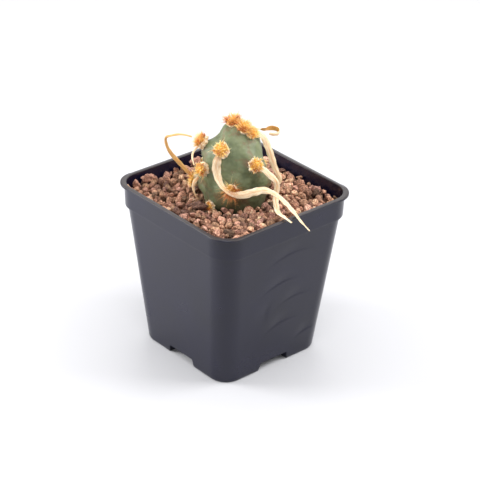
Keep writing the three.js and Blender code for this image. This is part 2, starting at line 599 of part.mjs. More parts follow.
// The room that an areole with its bristles takes up, grown by a clearance
function areoleRoom(areole) {
  const { foot, turn } = areolePlace(areole);
  const radius = areole.pad + AREOLE_CLEARANCE;
  const reach = areole.high + TUFT_HIGH + areole.length + AREOLE_CLEARANCE;
  return placed(new THREE.IcosahedronGeometry(1, 1).scale(radius, radius, reach), turn, foot);
}

// The plain hole in the grit for the foot of the plant, in the pot's frame
function plantHole() {
  const rooms = [stemGeometry(GAP), ...AREOLES.map(areoleRoom)];
  return joined(rooms.map((room) => solidOf(room.rotateZ(PLANT_TURN))));
}

// A rough grain of the grit, stretched and turned by chance
function grainSolid(x, y, z, radius, random) {
  const grain = new THREE.IcosahedronGeometry(radius, 0);
  grain.scale(...GRAIN_STRETCH.map(([least, most]) => THREE.MathUtils.lerp(least, most, random())));
  grain.rotateX(Math.PI * random()).rotateY(Math.PI * random()).rotateZ(Math.PI * random());
  return solidOf(grain.translate(x, y, z));
}

function stoneSolid({ at, radii, turn }) {
  const stone = new THREE.IcosahedronGeometry(1, 1).scale(...radii);
  return solidOf(stone.rotateZ(THREE.MathUtils.degToRad(turn)).translate(...at));
}

// Grit: one bed that fills the pot and rises towards the -X wall, with rough grains half
// sunk in its top
function gritSolid() {
  const random = seededNumbers(GRAIN_SEED);
  const spread = (amount) => amount * (2 * random() - 1);
  const reach = BAND_TOP_WIDTH / 2 - WALL - GAP - GRAIN_RADIUS;
  const topAt = ({ x }) => GRIT_LEVEL + GRIT_HEAP * THREE.MathUtils.clamp(-x / reach, 0, 1) ** 2;
  const rowStep = GRAIN_SPACING * Math.sqrt(3) / 2;
  const rows = Math.floor(2 * reach / rowStep);
  const parts = [potRoom(GAP, topAt), ...STONES.map(stoneSolid)];
  for (let row = 0; row <= rows; row++) {
    const shift = row % 2 ? GRAIN_SPACING / 2 : 0;
    const y = -reach + 2 * reach * row / rows;
    for (let x = -reach + shift; x <= reach; x += GRAIN_SPACING) {
      const z = topAt({ x }) + spread(GRAIN_LIFT_SPREAD);
      const radius = GRAIN_RADIUS + spread(GRAIN_RADIUS_SPREAD);
      parts.push(grainSolid(x + spread(GRAIN_JITTER), y + spread(GRAIN_JITTER), z, radius, random));
    }
  }
  const room = potRoom(GAP, () => POT_HEIGHT);
  return joined(parts).intersect(room).subtract(pocketBlocks(GAP)).subtract(plantHole());
}

// Assembly
const pottedCactus = new THREE.Group();
const plant = new THREE.Group();
plant.rotation.z = PLANT_TURN;
pottedCactus.add(plant);

const spines = SPINES.map(({ name, route }) => (
  { name, solid: spineSolid(route), clear: spineSolid(route, GAP) }));

pottedCactus.add(namedMesh('pot', geometryOf(potSolid()), FINISH.pot));
plant.add(namedMesh('stem', stemGeometry(), FINISH.stem));
for (const { name, solid } of spines) {
  plant.add(namedMesh(`spine_${name}`, geometryOf(solid), FINISH.spine));
}

// Each pad gives way to the stem, the spines and the pads before it, and each tuft to them all
const random = seededNumbers(BRISTLE_SEED);
let taken = joined([solidOf(stemGeometry(GAP)), ...spines.map(({ clear }) => clear)]);
for (const areole of AREOLES) {
  const pad = woolPad(areole).subtract(taken);
  taken = taken.add(woolPad(areole, PAD_CLEARANCE));
  plant.add(namedMesh(`wool_${areole.name}`, geometryOf(largestBody(pad)), FINISH.wool));
}
for (const areole of AREOLES) {
  const tuft = glochidTuft(areole, random).subtract(taken);
  plant.add(namedMesh(`glochids_${areole.name}`, geometryOf(largestBody(tuft)), FINISH.glochids));
}

pottedCactus.add(namedMesh('grit', geometryOf(largestBody(gritSolid())), FINISH.grit));

export default pottedCactus;
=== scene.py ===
"""A small potted pine cone cactus with long papery spines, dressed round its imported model.

Shapes are worked out in millimetres in the model's frame, +Z up with the origin under the
pot, and turned to metres where a mesh is made. The plant has a frame of its own, turned about
Z, whose -Y side is the one where the long front spine hangs.
"""

import math
from collections import namedtuple

import bpy
import numpy as np
from mathutils import Matrix


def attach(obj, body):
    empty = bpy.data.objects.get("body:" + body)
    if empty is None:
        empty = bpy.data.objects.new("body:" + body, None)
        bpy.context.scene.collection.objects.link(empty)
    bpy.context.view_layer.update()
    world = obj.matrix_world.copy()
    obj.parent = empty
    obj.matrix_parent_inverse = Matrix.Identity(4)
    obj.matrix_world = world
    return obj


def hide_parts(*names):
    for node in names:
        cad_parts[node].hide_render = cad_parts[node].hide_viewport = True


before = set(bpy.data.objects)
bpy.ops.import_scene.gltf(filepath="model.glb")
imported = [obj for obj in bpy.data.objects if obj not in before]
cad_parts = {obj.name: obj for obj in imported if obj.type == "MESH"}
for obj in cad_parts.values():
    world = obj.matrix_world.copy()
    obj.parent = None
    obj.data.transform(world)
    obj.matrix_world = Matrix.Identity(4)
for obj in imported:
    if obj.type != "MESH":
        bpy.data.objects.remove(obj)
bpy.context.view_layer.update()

MM = 0.001

# Pot, as in the model
POT_HEIGHT = 71.9
POT_BOTTOM_WIDTH = 52.9
POT_BODY_TOP_WIDTH = 66.0
BAND_TOP_WIDTH = 68.4
LIP_WIDTH = 70.0
BAND_HEIGHT = 8.9
BAND_DRAFT = 0.25
BAND_SHOULDER = 1.7
LIP_THICK = 1.0
WALL = 1.0
FLOOR = 1.2
BOTTOM_CORNER = 8.0
BODY_CORNER = 9.0
BAND_CORNER = 9.6
LIP_CORNER = 9.75
CORNER_BULGE = 0.5
BULGE_FULLNESS = 0.4
NOTCH_WIDE = 16.0
NOTCH_NARROW = 14.2
NOTCH_HEIGHT = 3.8
POCKET_DEPTH = 11.5
DRAIN_RADIUS = 3.0
BAND_BOTTOM = POT_HEIGHT - BAND_HEIGHT
SHOULDER_BOTTOM = BAND_BOTTOM - BAND_SHOULDER

# Pot, finer than in the model: the roundings of its edges, the crisp ledge in which the band
# ends below, how many rings of points shape each stretch of its profile, and the steps round
# each corner and along each side
FOOT_ROUNDING = 0.9
LEDGE_ROUNDING = 0.25
LIP_UNDER_ROUNDING = 0.12
LIP_ROUNDING = 0.4
LEDGE_HEIGHT = 61.8
LEDGE_RISE = 0.1
FOOT_RINGS = 6
BODY_RINGS = 200
LEDGE_RINGS = 5
BAND_RINGS = 11
LIP_UNDER_RINGS = 4
LIP_RINGS = 5
INSIDE_RINGS = 12
CORNER_STEPS = 14
SIDE_STEPS = 40

# How far the cutting shapes run past the pot, so that each cut is clean
CUT_BELOW = 3.0
CUT_PAST = 5.0
DRAIN_SIDES = 32

# Soft dents where the wall of the +X side sank as it cooled: y and z of the middle, half
# length, half width, tilt in degrees and depth. Below its middle line each is narrower and so
# steeper than above, by these shares of the half width, and its ends sag.
DENT_BELOW = 0.55
DENT_ABOVE = 4.5
DENT_SAG = 0.12
DENTS = [
    (2.5, 54.3, 7.5, 0.8, 4.0, 0.26),
    (-1.2, 41.5, 6.2, 0.7, 8.0, 0.3),
    (7.8, 32.2, 5.4, 0.7, 2.0, 0.26),
    (1.2, 21.2, 5.4, 0.8, 10.0, 0.34),
    (-7.0, 29.0, 3.8, 0.9, 84.0, 0.22),
    (15.8, 11.6, 3.6, 0.7, 12.0, 0.28),
]
# Points of the foot and the body this near the +X side belong to it
SIDE_NEARNESS = 0.2

# Where dust lies on the lip, each as the place where it starts and the one where it is full:
# the height, x or -y next to the -X and +Y sides, and x - y next to the +X -Y corner
DUST_HEIGHTS = (POT_HEIGHT - LIP_ROUNDING, POT_HEIGHT - 0.25)
DUST_INSETS = (-34.5, -34.1)
DUST_DIAGONALS = (64.5, 63.6)

# Grit: its level in the model, how deep the loose grains lie below it and the bed's top under
# them, and the surface they reach in the middle, with how much more at the -X wall and at all
# the walls
GRIT_LEVEL = 66.0
GRIT_DEPTH = 4.5
BED_DROP = 3.0
GRIT_TOP = 67.9
GRIT_HEAP = 1.5
RIM_HEAP = 2.3

# Loose grains: the range of their radii and how the sizes are spread over it, the range of
# their stretch each way, how their tones are spread, how many places each may choose from,
# and how many are dropped
GRAIN_RADII = (0.95, 2.8)
GRAIN_SPREAD = (1.4, 2.8)
GRAIN_STRETCH = (0.8, 1.35)
GRAIN_TONES = (2.2, 2.2)
GRAIN_TRIES = 30
GRAIN_DROPS = 1700
GRAIN_SEED = 41
# How near a grain's middle comes, in shares of its radius: to another grain's in shares of
# both, to the wall, to the stem and to the grit's surface
NEAR_GRAIN = 0.94
NEAR_WALL = 0.8
NEAR_STEM = 0.55
NEAR_SURFACE = 0.7
# How far the grit stays off the pot's wall: the bed and the reach of the grains, and at the
# least any point of a grain
GAP = 0.3
WALL_CLEARANCE = 0.05

# Broken stones: how far out their flats are, in shares of the radius, how squarely a direction
# counts as facing a flat at the least, and the height, turns and number of the soft waves
# over them
FLAT_DISTANCES = (0.5, 0.95)
LEAST_FACING = 0.05
WAVE_HEIGHT = 0.08
WAVE_TURNS = 4
WAVE_COUNT = 3

# Larger stones: middle, radii, turn about Z in degrees, and tone from dark to pale. A long dark
# one lies by the stem's foot, a pink one behind the plant and a long one along the wall.
STONES = [
    ((-1.4, -17.2, 67.8), (3.9, 2.1, 1.9), 48.0, 0.13),
    ((-28.6, 3.7, 69.2), (3.2, 3.9, 2.9), 0.0, 0.5),
    ((-30.3, -19.9, 69.7), (2.0, 4.2, 1.8), 0.0, 0.62),
]
# Their lumps, the height and width of each kind in shares of the stone, and their hue, which
# runs from 0 for pink to 1 for yellow
STONE_LUMPS = ((0.07, 0.7), (0.03, 0.3))
STONE_LUMP_SEED = 5
STONE_HUE = 0.15
# The lowest areole's pad, which the grains leave clear as they do a stone, and by how much
LOW_PAD = ((1.1, -13.3, 68.0), (2.4, 2.4, 2.0), 0.0, 0.0)
CLEAR_MARGIN = 0.6

# The bed's top: how far in its first and last rings of points lie, in shares of its width, how
# many there are, its lumps, how far they lie below the level, and its tone, darker than the
# grains' as painted shade in the gaps between them, and its hue
BED_SHARES = (0.96, 0.04)
BED_RINGS = 26
BED_LUMPS = ((0.5, 3.4),)
BED_LUMP_SEED = 8
BED_SETTLED = 0.4
BED_SHADED_TINT = (0.12, 0.5, 0.0)

# Stem, as in the model
PLANT_TURN = math.radians(48)
STEM_MIDDLE = np.array([0.3, 0.0, 78.2])
STEM_HALF_WIDTH = 13.3
STEM_RISE = 21.2
STEM_DROP = 24.7

# Faint lumps on the skin, the height and width of each kind, the heights where the skin starts
# to look old and darker and where it is oldest and darkest, a darkening that is partly aged skin
# and partly painted shade, and how far above and below the grit's level the stem's own edge
# counts for the grains
SKIN_LUMPS = ((0.12, 5.0), (0.035, 1.6))
SKIN_LUMP_SEED = 3
SKIN_AGEING_AND_SHADE = (78.0, 67.0)
EDGE_REACH = 2.2

# Tubercles and the valleys between them: the point each lies towards, its height (a valley's
# is negative) and its spread over the stem in radians
TUBERCLES = [
    ((-12.1, -2, 90.7), 3.7, 0.29),
    ((-5, -9.8, 92.1), 1.7, 0.28),
    ((6.5, -9.1, 85.4), 1.7, 0.28),
    ((12.2, -1.8, 82.9), 1.2, 0.2),
    ((-11, -6.9, 81.9), 1.4, 0.27),
    ((-1, -12.3, 75), 1.4, 0.36),
    ((12.7, -1.3, 75.8), 1.3, 0.3),
    ((-13.9, 0.9, 73), 2.6, 0.27),
    ((-9.2, -7.6, 66.8), 1.4, 0.28),
    ((8.9, -2.8, 65.8), 0.7, 0.3),
    ((-0.6, -0.3, 99.4), 1.6, 0.26),
    ((8.9, 1, 94.4), 0.4, 0.25),
    ((-4.8, 0.9, 97.7), 1.7, 0.18),
    ((-4.9, 12.3, 83.8), 1.5, 0.3),
    ((6, 10.5, 86.7), 1.4, 0.3),
    ((8.6, 11, 76), 1.4, 0.3),
    ((-9.2, 11.3, 78.1), 1.5, 0.3),
    ((1.7, 13.3, 73.3), 1.4, 0.32),
    ((-6.2, 0.9, 93), -2.6, 0.4),
    ((12.2, 2, 84.5), -4.8, 0.37),
    ((-13.4, -3.9, 85.4), -0.7, 0.16),
    ((0.3, 8.5, 93.9), -1.1, 0.2),
    ((-4.5, -1.5, 96.5), -0.5, 0.2),
]

# Areoles: the point of the stem each lies towards, the way it faces, the pad's radius and
# height, the bristles' length, furthest lean in degrees and common droop, the side of the tuft
# that is older and darker, and how rusty the tuft is, where 0 is honey and 1 is rust all over,
# and how wide and how long over the usual
Areole = namedtuple("Areole", "name towards faces rim height length lean droop older "
                              "rust wider longer", defaults=(0.2, 1.0, 1.0))
AREOLES = [
    Areole("upper_left", (-12.1, -2, 91.2), (-0.72, -0.2, 0.66), 2.9, 2.1, 1.9, 60,
           (0, 0, 0.3), (0.8, -0.5, 0), rust=0.45, wider=1.1),
    Areole("upper_front", (-5, -9.8, 92.1), (-0.25, -0.78, 0.57), 3.2, 1.8, 0.9, 65,
           (0, 0, 0), (0.1, -0.3, -0.9)),
    Areole("left", (-11, -6.9, 82.5), (-0.72, -0.66, 0.2), 2.9, 1.9, 1.1, 62,
           (0, 0, 0.1), (0.9, -0.4, 0.1)),
    Areole("right_front", (6.3, -9.1, 85.4), (0.35, -0.85, 0.4), 2.9, 1.9, 1.1, 62,
           (0, 0, 0), (-0.9, 0, -0.2)),
    Areole("low_front", (-0.7, -12.3, 77.6), (-0.05, -0.98, 0.1), 2.2, 1.4, 4, 84,
           (-0.15, 0, -0.75), (0, 0, -1), rust=1.1),
    Areole("soil_left", (-8.4, -9, 68), (-0.65, -0.7, 0.1), 2.2, 1.5, 0.6, 60,
           (0, 0, 0.2), (-0.2, 0, -0.9), rust=1.3, wider=1.05, longer=0.5),
    Areole("left_back", (-14.2, 1.6, 73.8), (-0.95, 0, 0.15), 2.5, 2.1, 1.1, 70,
           (0, 0, 0), (0, 0.9, -0.3), rust=0.35, wider=1.35, longer=1.1),
    Areole("crown_left", (-1, -0.4, 99.7), (-0.1, -0.25, 0.95), 2.7, 1.3, 1.8, 62,
           (-0.2, 0, 0.2), (0, -0.9, 0), rust=0.45, wider=1.4, longer=0.9),
    Areole("crown_middle", (3, -3, 97.9), (0.15, -0.4, 0.9), 2.5, 1.4, 1.6, 58,
           (0.1, 0, 0.2), (-0.3, -0.9, 0), rust=-0.12, wider=1.5, longer=0.9),
    Areole("crown_right", (5.9, -3.7, 96.7), (0.4, -0.5, 0.78), 2.1, 1.4, 1.4, 58,
           (0.1, 0, 0.1), (-0.8, -0.5, 0), rust=-0.3, wider=1.4, longer=0.9),
    Areole("back_upper_left", (-4.9, 12.3, 83.8), (-0.35, 0.85, 0.3), 2.9, 1.9, 1.1, 62,
           (0, 0, 0), (0, 0, -1)),
    Areole("back_upper_right", (6, 10.5, 86.7), (0.4, 0.8, 0.35), 2.9, 1.9, 1.1, 62,
           (0, 0, 0), (-0.7, 0, -0.7)),
    Areole("back_right", (8.6, 11, 76), (0.62, 0.78, 0.05), 2.6, 1.7, 1.1, 62,
           (0, 0, 0), (0, 0, -1)),
    Areole("back_left", (-9.2, 11.3, 78.1), (-0.6, 0.8, 0.1), 2.8, 1.9, 1.1, 62,
           (0, 0, 0), (0.7, 0, -0.7)),
    Areole("back_low", (1.7, 13.3, 73.3), (0.1, 0.98, -0.05), 2.4, 1.5, 1.9, 78,
           (0, 0, -0.3), (0, 0, -1)),
]
WOOL_SEED = 100
TUFT_SEED = 200
# Directions that no areole and no bristle takes, from which their sideways ones are worked out
AREOLE_ASKEW = (0.31, 0.17, 0.93)
BRISTLE_ASKEW = (0.43, -0.31, 0.85)

# Woolly pads: how deep each is sunk, its radius over its rim's, how full its outline is seen
# from above and from the side, how far under its middle the point lies that its lumps stand
# out from, the dish in its top, and the height and width of each kind of lump
PAD_SINK = 0.8
PAD_EDGE = 0.97
PAD_FULLNESS = 0.75
PAD_ROUNDNESS = 0.8
PAD_HEART = 0.4
DISH_DEPTH = 0.55
DISH_SPREAD = 0.55
PAD_LUMPS = ((0.22, 1.9), (0.12, 0.8))

# Hairs of the pads: short curly ones all round and a few long stray ones. The ranges are those
# of the short ones' climb in radians, of the stray ones' rise to 1 outwards, and of the
# lengths. Tangle is how far a hair's way strays, curl how far its tip bends aside, and reach
# and lift how far out and up its root is, in shares of the pad's radius and half its depth.
FIBRES = 300
FIBRE_RADIUS = 0.055
FIBRE_CLIMBS = (0.1, 1.15)
FIBRE_LENGTHS = (0.5, 1.25)
FIBRE_TANGLE = 0.5
FIBRE_CURL = 0.35
FIBRE_REACH = 0.8
FIBRE_LIFT = 0.75
STRAYS = 9
STRAY_RADIUS = 0.035
STRAY_RISES = (0.1, 0.9)
STRAY_LENGTHS = (1.6, 3.0)
STRAY_CURL = 0.8
STRAY_REACH = 0.7

# Tufts: the radius of the dome that the bristles stand on, over the pad's, its height, how deep
# it is sunk and its lumps, how far along a bristle its tone is taken from, how old it is in
# the middle, and how much older it and the bristles are on the older side
TUFT_SHARE = 0.68
DOME_HEIGHT = 0.75
DOME_SINK = 0.3
DOME_LUMPS = ((0.16, 0.9),)
DOME_TONE = 0.2
DOME_AGE = 0.25
SIDE_AGE = 0.6

# Bristles: the number in a tuft, and of clumps and the radius in one up to 1 mm long, the share
# that stand out long, and the golden-angle spiral of their roots, with its reach over the
# dome's, how far its edge is sunk below the pad's top, and its rise to the middle
BRISTLES = 460
CLUMPS = 34
BRISTLE_RADIUS = 0.09
LONG_SHARE = 0.13
GOLDEN_ANGLE = math.pi * (3 - math.sqrt(5))
SPIRAL_REACH = 1.2
SPIRAL_SINK = 0.35
SPIRAL_RISE = 0.6

# A bristle's rings: how far along it each is, and how thick it is there over its root. It has
# three sides and ends in a point, which comes after those of the rings.
SPIKE_RINGS = ((0.0, 1.0), (0.55, 0.75))
SPIKE_SIDES = 3
SPIKE_POINTS = 7
SPIKE_FACES = ((0, 2, 1), (0, 1, 4), (0, 4, 3), (1, 2, 5), (1, 5, 4), (2, 0, 3), (2, 3, 5),
               (3, 4, 6), (4, 5, 6), (5, 3, 6))

# How a tuft's clumps and bristles vary: how uneven the spiral is and a clump's lean, both in
# radians, and its tone; a clump's length, in a part that is the same for all and one that grows
# with the areole's, and its random share of that; how far bristles stray from their clump's
# way, in the same two parts, and their random share of its length; how much longer the long
# ones are, in a plain part and one over the areole's length; their curl, the height and width
# of patches of age, and how uneven their age and their girth are
SPIRAL_SWAY = 0.15
CLUMP_SWAY = 0.2
CLUMP_TONES = (-0.3, 0.3)
CLUMP_LENGTH = (0.45, 0.95)
CLUMP_SHARES = (0.5, 1.25)
BRISTLE_STRAY = (0.1, 0.07)
BRISTLE_SHARES = (0.6, 1.1)
LONG_EXTRA = (1.2, 0.7)
BRISTLE_CURL = 0.08
AGE_PATCHES = ((0.4, 2.6),)
AGE_SWAY = 0.12
BRISTLE_GIRTHS = (0.7, 1.2)

# How finely the round shapes are divided: rings and points of a ring, splits of an icosahedron
# and flats of a broken stone, and how far above the drain pockets the bed starts
STEM_GRID = (150, 240)
EDGE_GRID = (90, 180)
EDGE_TURNS = 181
PAD_GRID = (26, 52)
DOME_GRID = (12, 28)
GRAIN_SPLITS = 1
GRAIN_FLATS = 8
STONE_SPLITS = 3
STONE_FLATS = 12
BED_CLEARANCE = 1.0

# Papery spines: points from root to tip, with the strip's width there and the way its flat
# side faces
SPINES = {
    "long_front": [
        ((-6.1, -11.4, 91.3), 2.5, (0.1, -0.8, 0.5)),
        ((-6.9, -12.5, 88.6), 3.3, (0, -0.95, 0.2)),
        ((-7.1, -12.4, 85.9), 3.5, (-0.1, -0.95, 0.1)),
        ((-6.5, -13.3, 82.8), 3.1, (-0.1, -0.95, 0.3)),
        ((-5.2, -14.8, 80.1), 2.2, (0.1, -0.9, 0.5)),
        ((-3.3, -16.3, 78.4), 1.5, (0.2, -0.75, 0.75)),
        ((-0.1, -17.3, 77), 2.1, (0.2, -0.8, 0.6)),
        ((3.7, -17.3, 77), 3.1, (0, -0.95, 0.3)),
        ((7.6, -15.9, 77.5), 3.1, (0, -0.95, 0.3)),
        ((11.3, -14.3, 77.7), 2.8, (-0.1, -0.85, 0.5)),
        ((14.2, -14.1, 77.1), 2.2, (-0.1, -0.6, 0.8)),
        ((17.2, -15, 75.8), 1.9, (0, -0.4, 0.9)),
        ((20.2, -18.8, 75), 2.1, (0.1, -0.2, 0.97)),
        ((23.6, -23.7, 73.5), 2.0, (0.2, 0, 0.97)),
        ((26.6, -27.1, 71.1), 1.6, (0.4, 0.1, 0.9)),
        ((29.9, -30.1, 68.8), 0.8, (0.5, 0.1, 0.85)),
    ],
    "right_front": [
        ((8.5, -11.9, 86.3), 2.1, (0.3, -0.75, 0.6)),
        ((11.2, -11.1, 85.3), 2.5, (0.4, -0.7, 0.6)),
        ((13.6, -10.1, 82.6), 2.5, (0.5, -0.7, 0.5)),
        ((16, -9.6, 80), 2.4, (0.5, -0.8, 0.2)),
        ((16.9, -9.2, 77.1), 2.4, (0.3, -0.95, 0)),
        ((16.5, -10.1, 73.9), 2.3, (0.1, -0.9, 0.3)),
        ((16.5, -12.2, 72.9), 2.3, (0, -0.5, 0.85)),
        ((16.8, -16.2, 72), 2.3, (0, 0, 1)),
        ((17.8, -22.1, 71.9), 2.1, (0, 0.1, 1)),
        ((19.8, -27.2, 73.1), 1.5, (0, 0.1, 1)),
        ((22.8, -30.7, 72.5), 0.8, (0.2, -0.1, 1)),
    ],
    "crown_right": [
        ((7.4, -3, 97.7), 1.9, (0.5, -0.5, 0.8)),
        ((10.4, -2.4, 95.7), 2.6, (0.5, -0.75, 0.5)),
        ((12.2, -2.2, 92.4), 2.7, (0.35, -0.9, 0.2)),
        ((13.5, -2.2, 89), 2.7, (0.3, -0.95, 0.1)),
        ((14.7, -2.1, 85.3), 2.7, (0.25, -0.95, 0.1)),
        ((15.7, -2.2, 82.1), 2.4, (0.25, -0.95, 0.1)),
        ((17.1, -2.5, 79.1), 1.9, (0.2, -0.95, 0.1)),
        ((18.2, -2.9, 76.7), 1.5, (0.2, -0.95, 0.1)),
        ((18.1, -3.2, 75.1), 0.8, (0.2, -0.95, 0)),
    ],
    "crown_curl": [
        ((7.7, -1.3, 97.8), 1.3, (0.5, 0.3, 0.8)),
        ((9.3, 0.8, 97.2), 1.5, (0.3, 0.6, 0.6)),
        ((11.3, 1.8, 96.5), 1.6, (0.1, 1, 0.2)),
        ((12.6, 3.8, 96), 1.9, (-0.7, 0.7, 0)),
        ((14.5, 4.7, 95.8), 2.0, (0, 1, 0)),
        ((16.5, 3.4, 95.9), 2.0, (0.75, 0.65, 0)),
        ((17.2, 1.4, 96.1), 1.9, (1, 0, 0)),
        ((16.6, -0.5, 96), 1.7, (0.7, -0.7, 0)),
        ((15, -1.3, 95.9), 1.5, (0.1, -1, 0)),
        ((13.2, -1, 96), 0.9, (-0.3, -1, 0)),
    ],
    "left_fold": [
        ((-17.6, 2.4, 75), 1.1, (0.5, -0.8, 0.3)),
        ((-20.3, 2.7, 77.9), 1.7, (0.5, -0.8, 0.3)),
        ((-23.4, 2.2, 81.8), 1.8, (0.45, -0.8, 0.35)),
        ((-25.4, 1.7, 84.5), 1.6, (0.4, -0.8, 0.3)),
        ((-26.9, 1.2, 87.5), 1.3, (0.3, -0.9, 0.2)),
        ((-27.7, 0.8, 90.8), 1.1, (0.2, -0.95, 0.1)),
        ((-27.4, 0.3, 92.5), 1.0, (0.1, -0.95, 0.3)),
        ((-25.7, -0.2, 93.4), 1.0, (0, -0.7, 0.7)),
        ((-22.7, -0.6, 94.3), 1.0, (0, -0.5, 0.85)),
        ((-19.9, -1.1, 94.4), 0.9, (0, -0.5, 0.85)),
        ((-17.2, -1.5, 93.9), 0.8, (0, -0.5, 0.85)),
    ],
    "left_thread": [
        ((-14.5, -2.9, 90.5), 0.8, (-0.7, -0.7, 0)),
        ((-16.4, -3, 88.2), 1.0, (-0.7, -0.7, 0)),
        ((-16.9, -3.6, 85.8), 1.0, (-0.7, -0.7, 0)),
        ((-16.1, -5.4, 83.4), 0.8, (-0.7, -0.7, 0)),
    ],
    "left_low": [
        ((-14.1, -8.1, 79.4), 1.1, (-0.5, -0.85, 0.1)),
        ((-15.7, -7.9, 77.3), 1.6, (-0.5, -0.85, 0.1)),
        ((-16.2, -6.7, 74.3), 1.5, (-0.5, -0.85, -0.1)),
        ((-15.9, -6.7, 72.2), 1.1, (-0.6, -0.8, -0.1)),
        ((-15.2, -6.4, 70.3), 0.9, (-0.6, -0.8, -0.2)),
        ((-14.4, -6, 68.6), 0.8, (-0.6, -0.8, -0.2)),
    ],
    "back_long": [
        ((7.3, 13.7, 86.8), 2.3, (0.4, 0.8, 0.4)),
        ((7.8, 16.4, 85.3), 3.0, (0.3, 0.8, 0.5)),
        ((7.2, 18.3, 81.5), 3.2, (0.2, 0.95, 0.2)),
        ((5.8, 19, 77.1), 2.8, (0.1, 0.98, 0.1)),
        ((4.9, 20.3, 73.4), 2.3, (0, 0.85, 0.5)),
        ((4.3, 23, 70.6), 1.5, (0, 0.6, 0.8)),
        ((4.8, 25.4, 69), 0.8, (0, 0.4, 0.9)),
    ],
    "back_left": [
        ((-11.2, 14, 77.7), 1.9, (-0.6, 0.8, 0.2)),
        ((-12.8, 16.2, 76.2), 2.6, (-0.5, 0.7, 0.5)),
        ((-13.2, 17.9, 73.3), 2.6, (-0.3, 0.9, 0.3)),
        ((-12.2, 19.4, 70.8), 1.9, (0, 0.8, 0.6)),
        ((-10.1, 21.4, 69.2), 0.8, (0.1, 0.6, 0.8)),
    ],
    "back_low": [
        ((2.2, 16.1, 72.7), 1.3, (0.1, 0.95, 0.2)),
        ((1.8, 17.8, 71.6), 1.9, (-0.2, 0.7, 0.6)),
        ((0.1, 19.3, 70.2), 1.7, (-0.2, 0.5, 0.8)),
        ((-2.7, 20.5, 69.1), 0.8, (-0.1, 0.4, 0.9)),
    ],
}

# How ochre each spine is on its face and on its back, from 0 for fresh cream to 1 for old
# straw. One that isn't listed is fresh. The back of crown_curl, the inside of its loop, is
# ochre as painted shade.
SPINE_FRESH = (0.08, 0.08)
SPINE_AGES_AND_SHADE = {
    "left_fold": (0.85, 0.6),
    "left_thread": (0.1, 0.1),
    # The inside of crown_curl's loop is painted ochre as painted shade
    "crown_curl": (0.1, 1.0),
    "left_low": (0.3, 0.3),
}
# A spine's section: its thickness in the middle and how much thinner its edges are, how far it
# is bowed and ruffled over its half width, and how much its width wavers. Lengths are those of
# one ruffle, of one waver and of the rusty root. A spine has this many stations from one point
# of its route to the next, and steps across it.
SPINE_THICK = 0.26
SPINE_THINNING = 0.75
SPINE_BOW = 0.16
SPINE_RUFFLE = 0.1
SPINE_WAVER = 0.05
RUFFLE_LENGTH = 5.5
WAVER_LENGTH = 3.7
ROOT_LENGTH = 1.6
SPINE_STATIONS = 14
SPINE_SECTION = 10

# Scales of the finishes' patterns, in repeats to the metre, with the width of one
MOULD_CLOUDS = 55.0  # 18 mm
MOULD_GRAIN = 1400.0  # 0.7 mm
GRIT_MOTTLE = 1500.0  # 0.7 mm
GRIT_PITS = 1900.0  # 0.5 mm
GRIT_ROUGHNESS = 2600.0  # 0.4 mm
SKIN_GREENS = 95.0  # 10 mm
SKIN_CORK = 210.0  # 5 mm
SKIN_DOTS = 1700.0  # 0.6 mm
SKIN_GRAIN = 900.0  # 1.1 mm
WOOL_MATTING = 1100.0  # 0.9 mm
TABLE_CLOUDS = 3.0  # 330 mm
# The spines' fibres are laid out in millimetres: repeats to the millimetre across a spine, and
# the share of that along it
PAPER_FIBRES = 4.5
PAPER_STRETCH = 0.07

# Camera, fitted to the photograph: focal length in pixels of a 480-pixel frame, the way it
# looks, its roll, its distance from a point on the pot's axis, and its shift from there
CAMERA_FOCAL = 1888.52
CAMERA_FRAME = 480
CAMERA_AZIMUTH = 0.8439
CAMERA_ELEVATION = 0.5063
CAMERA_ROLL = 0.028
CAMERA_DISTANCE = 771.64
CAMERA_TARGET_HEIGHT = 40.0
CAMERA_SHIFT = (3.0257, 6.2059)
SENSOR_WIDTH = 36.0

# Studio: half the table's side, the strength of the white surround, and the soft lights, each
# by its place, side and watts. All face a point half way up the plant in its pot.
TABLE_REACH = 4000.0
SURROUND_STRENGTH = 0.85
LIGHT_TARGET = (0, 0, 50)
SOFTBOXES = {
    "left_softbox": ((-290, -300, 200), 200, 2.2),
    "right_softbox": ((300, 340, 450), 300, 2.9),
    "front_softbox": ((500, -450, 950), 500, 2.5),
    "back_softbox": ((-600, 530, 450), 400, 1.6),
    "top_softbox": ((-30, 100, 950), 900, 4.1),
}


def unit(vectors):
    """Vectors over their own lengths."""
    vectors = np.asarray(vectors, float)
    return vectors / np.linalg.norm(vectors, axis=-1, keepdims=True)


def turned(angle):
    """The matrix of a turn about Z."""
    cosine, sine = math.cos(angle), math.sin(angle)
    return np.array([[cosine, -sine, 0], [sine, cosine, 0], [0, 0, 1]])


def to_pot(points):
    """Points of the plant's frame in the pot's: turned about Z by the plant's turn."""
    return points @ turned(PLANT_TURN).T


def lumps(points, size, seed, waves=14):
    """Soft lumps, mostly between -1 and 1: the sum of plane waves of one wavelength in random
    directions, cos(2 pi (p . way) / size + phase), times the root of 2 over their number."""
    draw = np.random.default_rng(seed)
    ways = unit(draw.normal(size=(waves, 3)))
    phases = draw.uniform(0, 2 * math.pi, waves)
    turns = points @ ways.T * (2 * math.pi / size) + phases
    return np.cos(turns).sum(axis=-1) * math.sqrt(2 / waves)


def relief(points, layers, seed):
    """Lumps of several sizes added up. A layer is a height and a width, and the seeds of the
    layers count up from the first."""
    return sum(height * lumps(points, width, seed + step)
               for step, (height, width) in enumerate(layers))


def grid_faces(rows, columns):
    """Quads of a grid of points whose columns close on themselves, numbered row by row."""
    row = np.arange(rows - 1)[:, None] * columns
    column = np.arange(columns)[None, :]
    right = (column + 1) % columns
    quads = np.stack([row + column, row + right, row + columns + right, row + columns + column],
                     axis=-1)
    return quads.reshape(-1, 4)


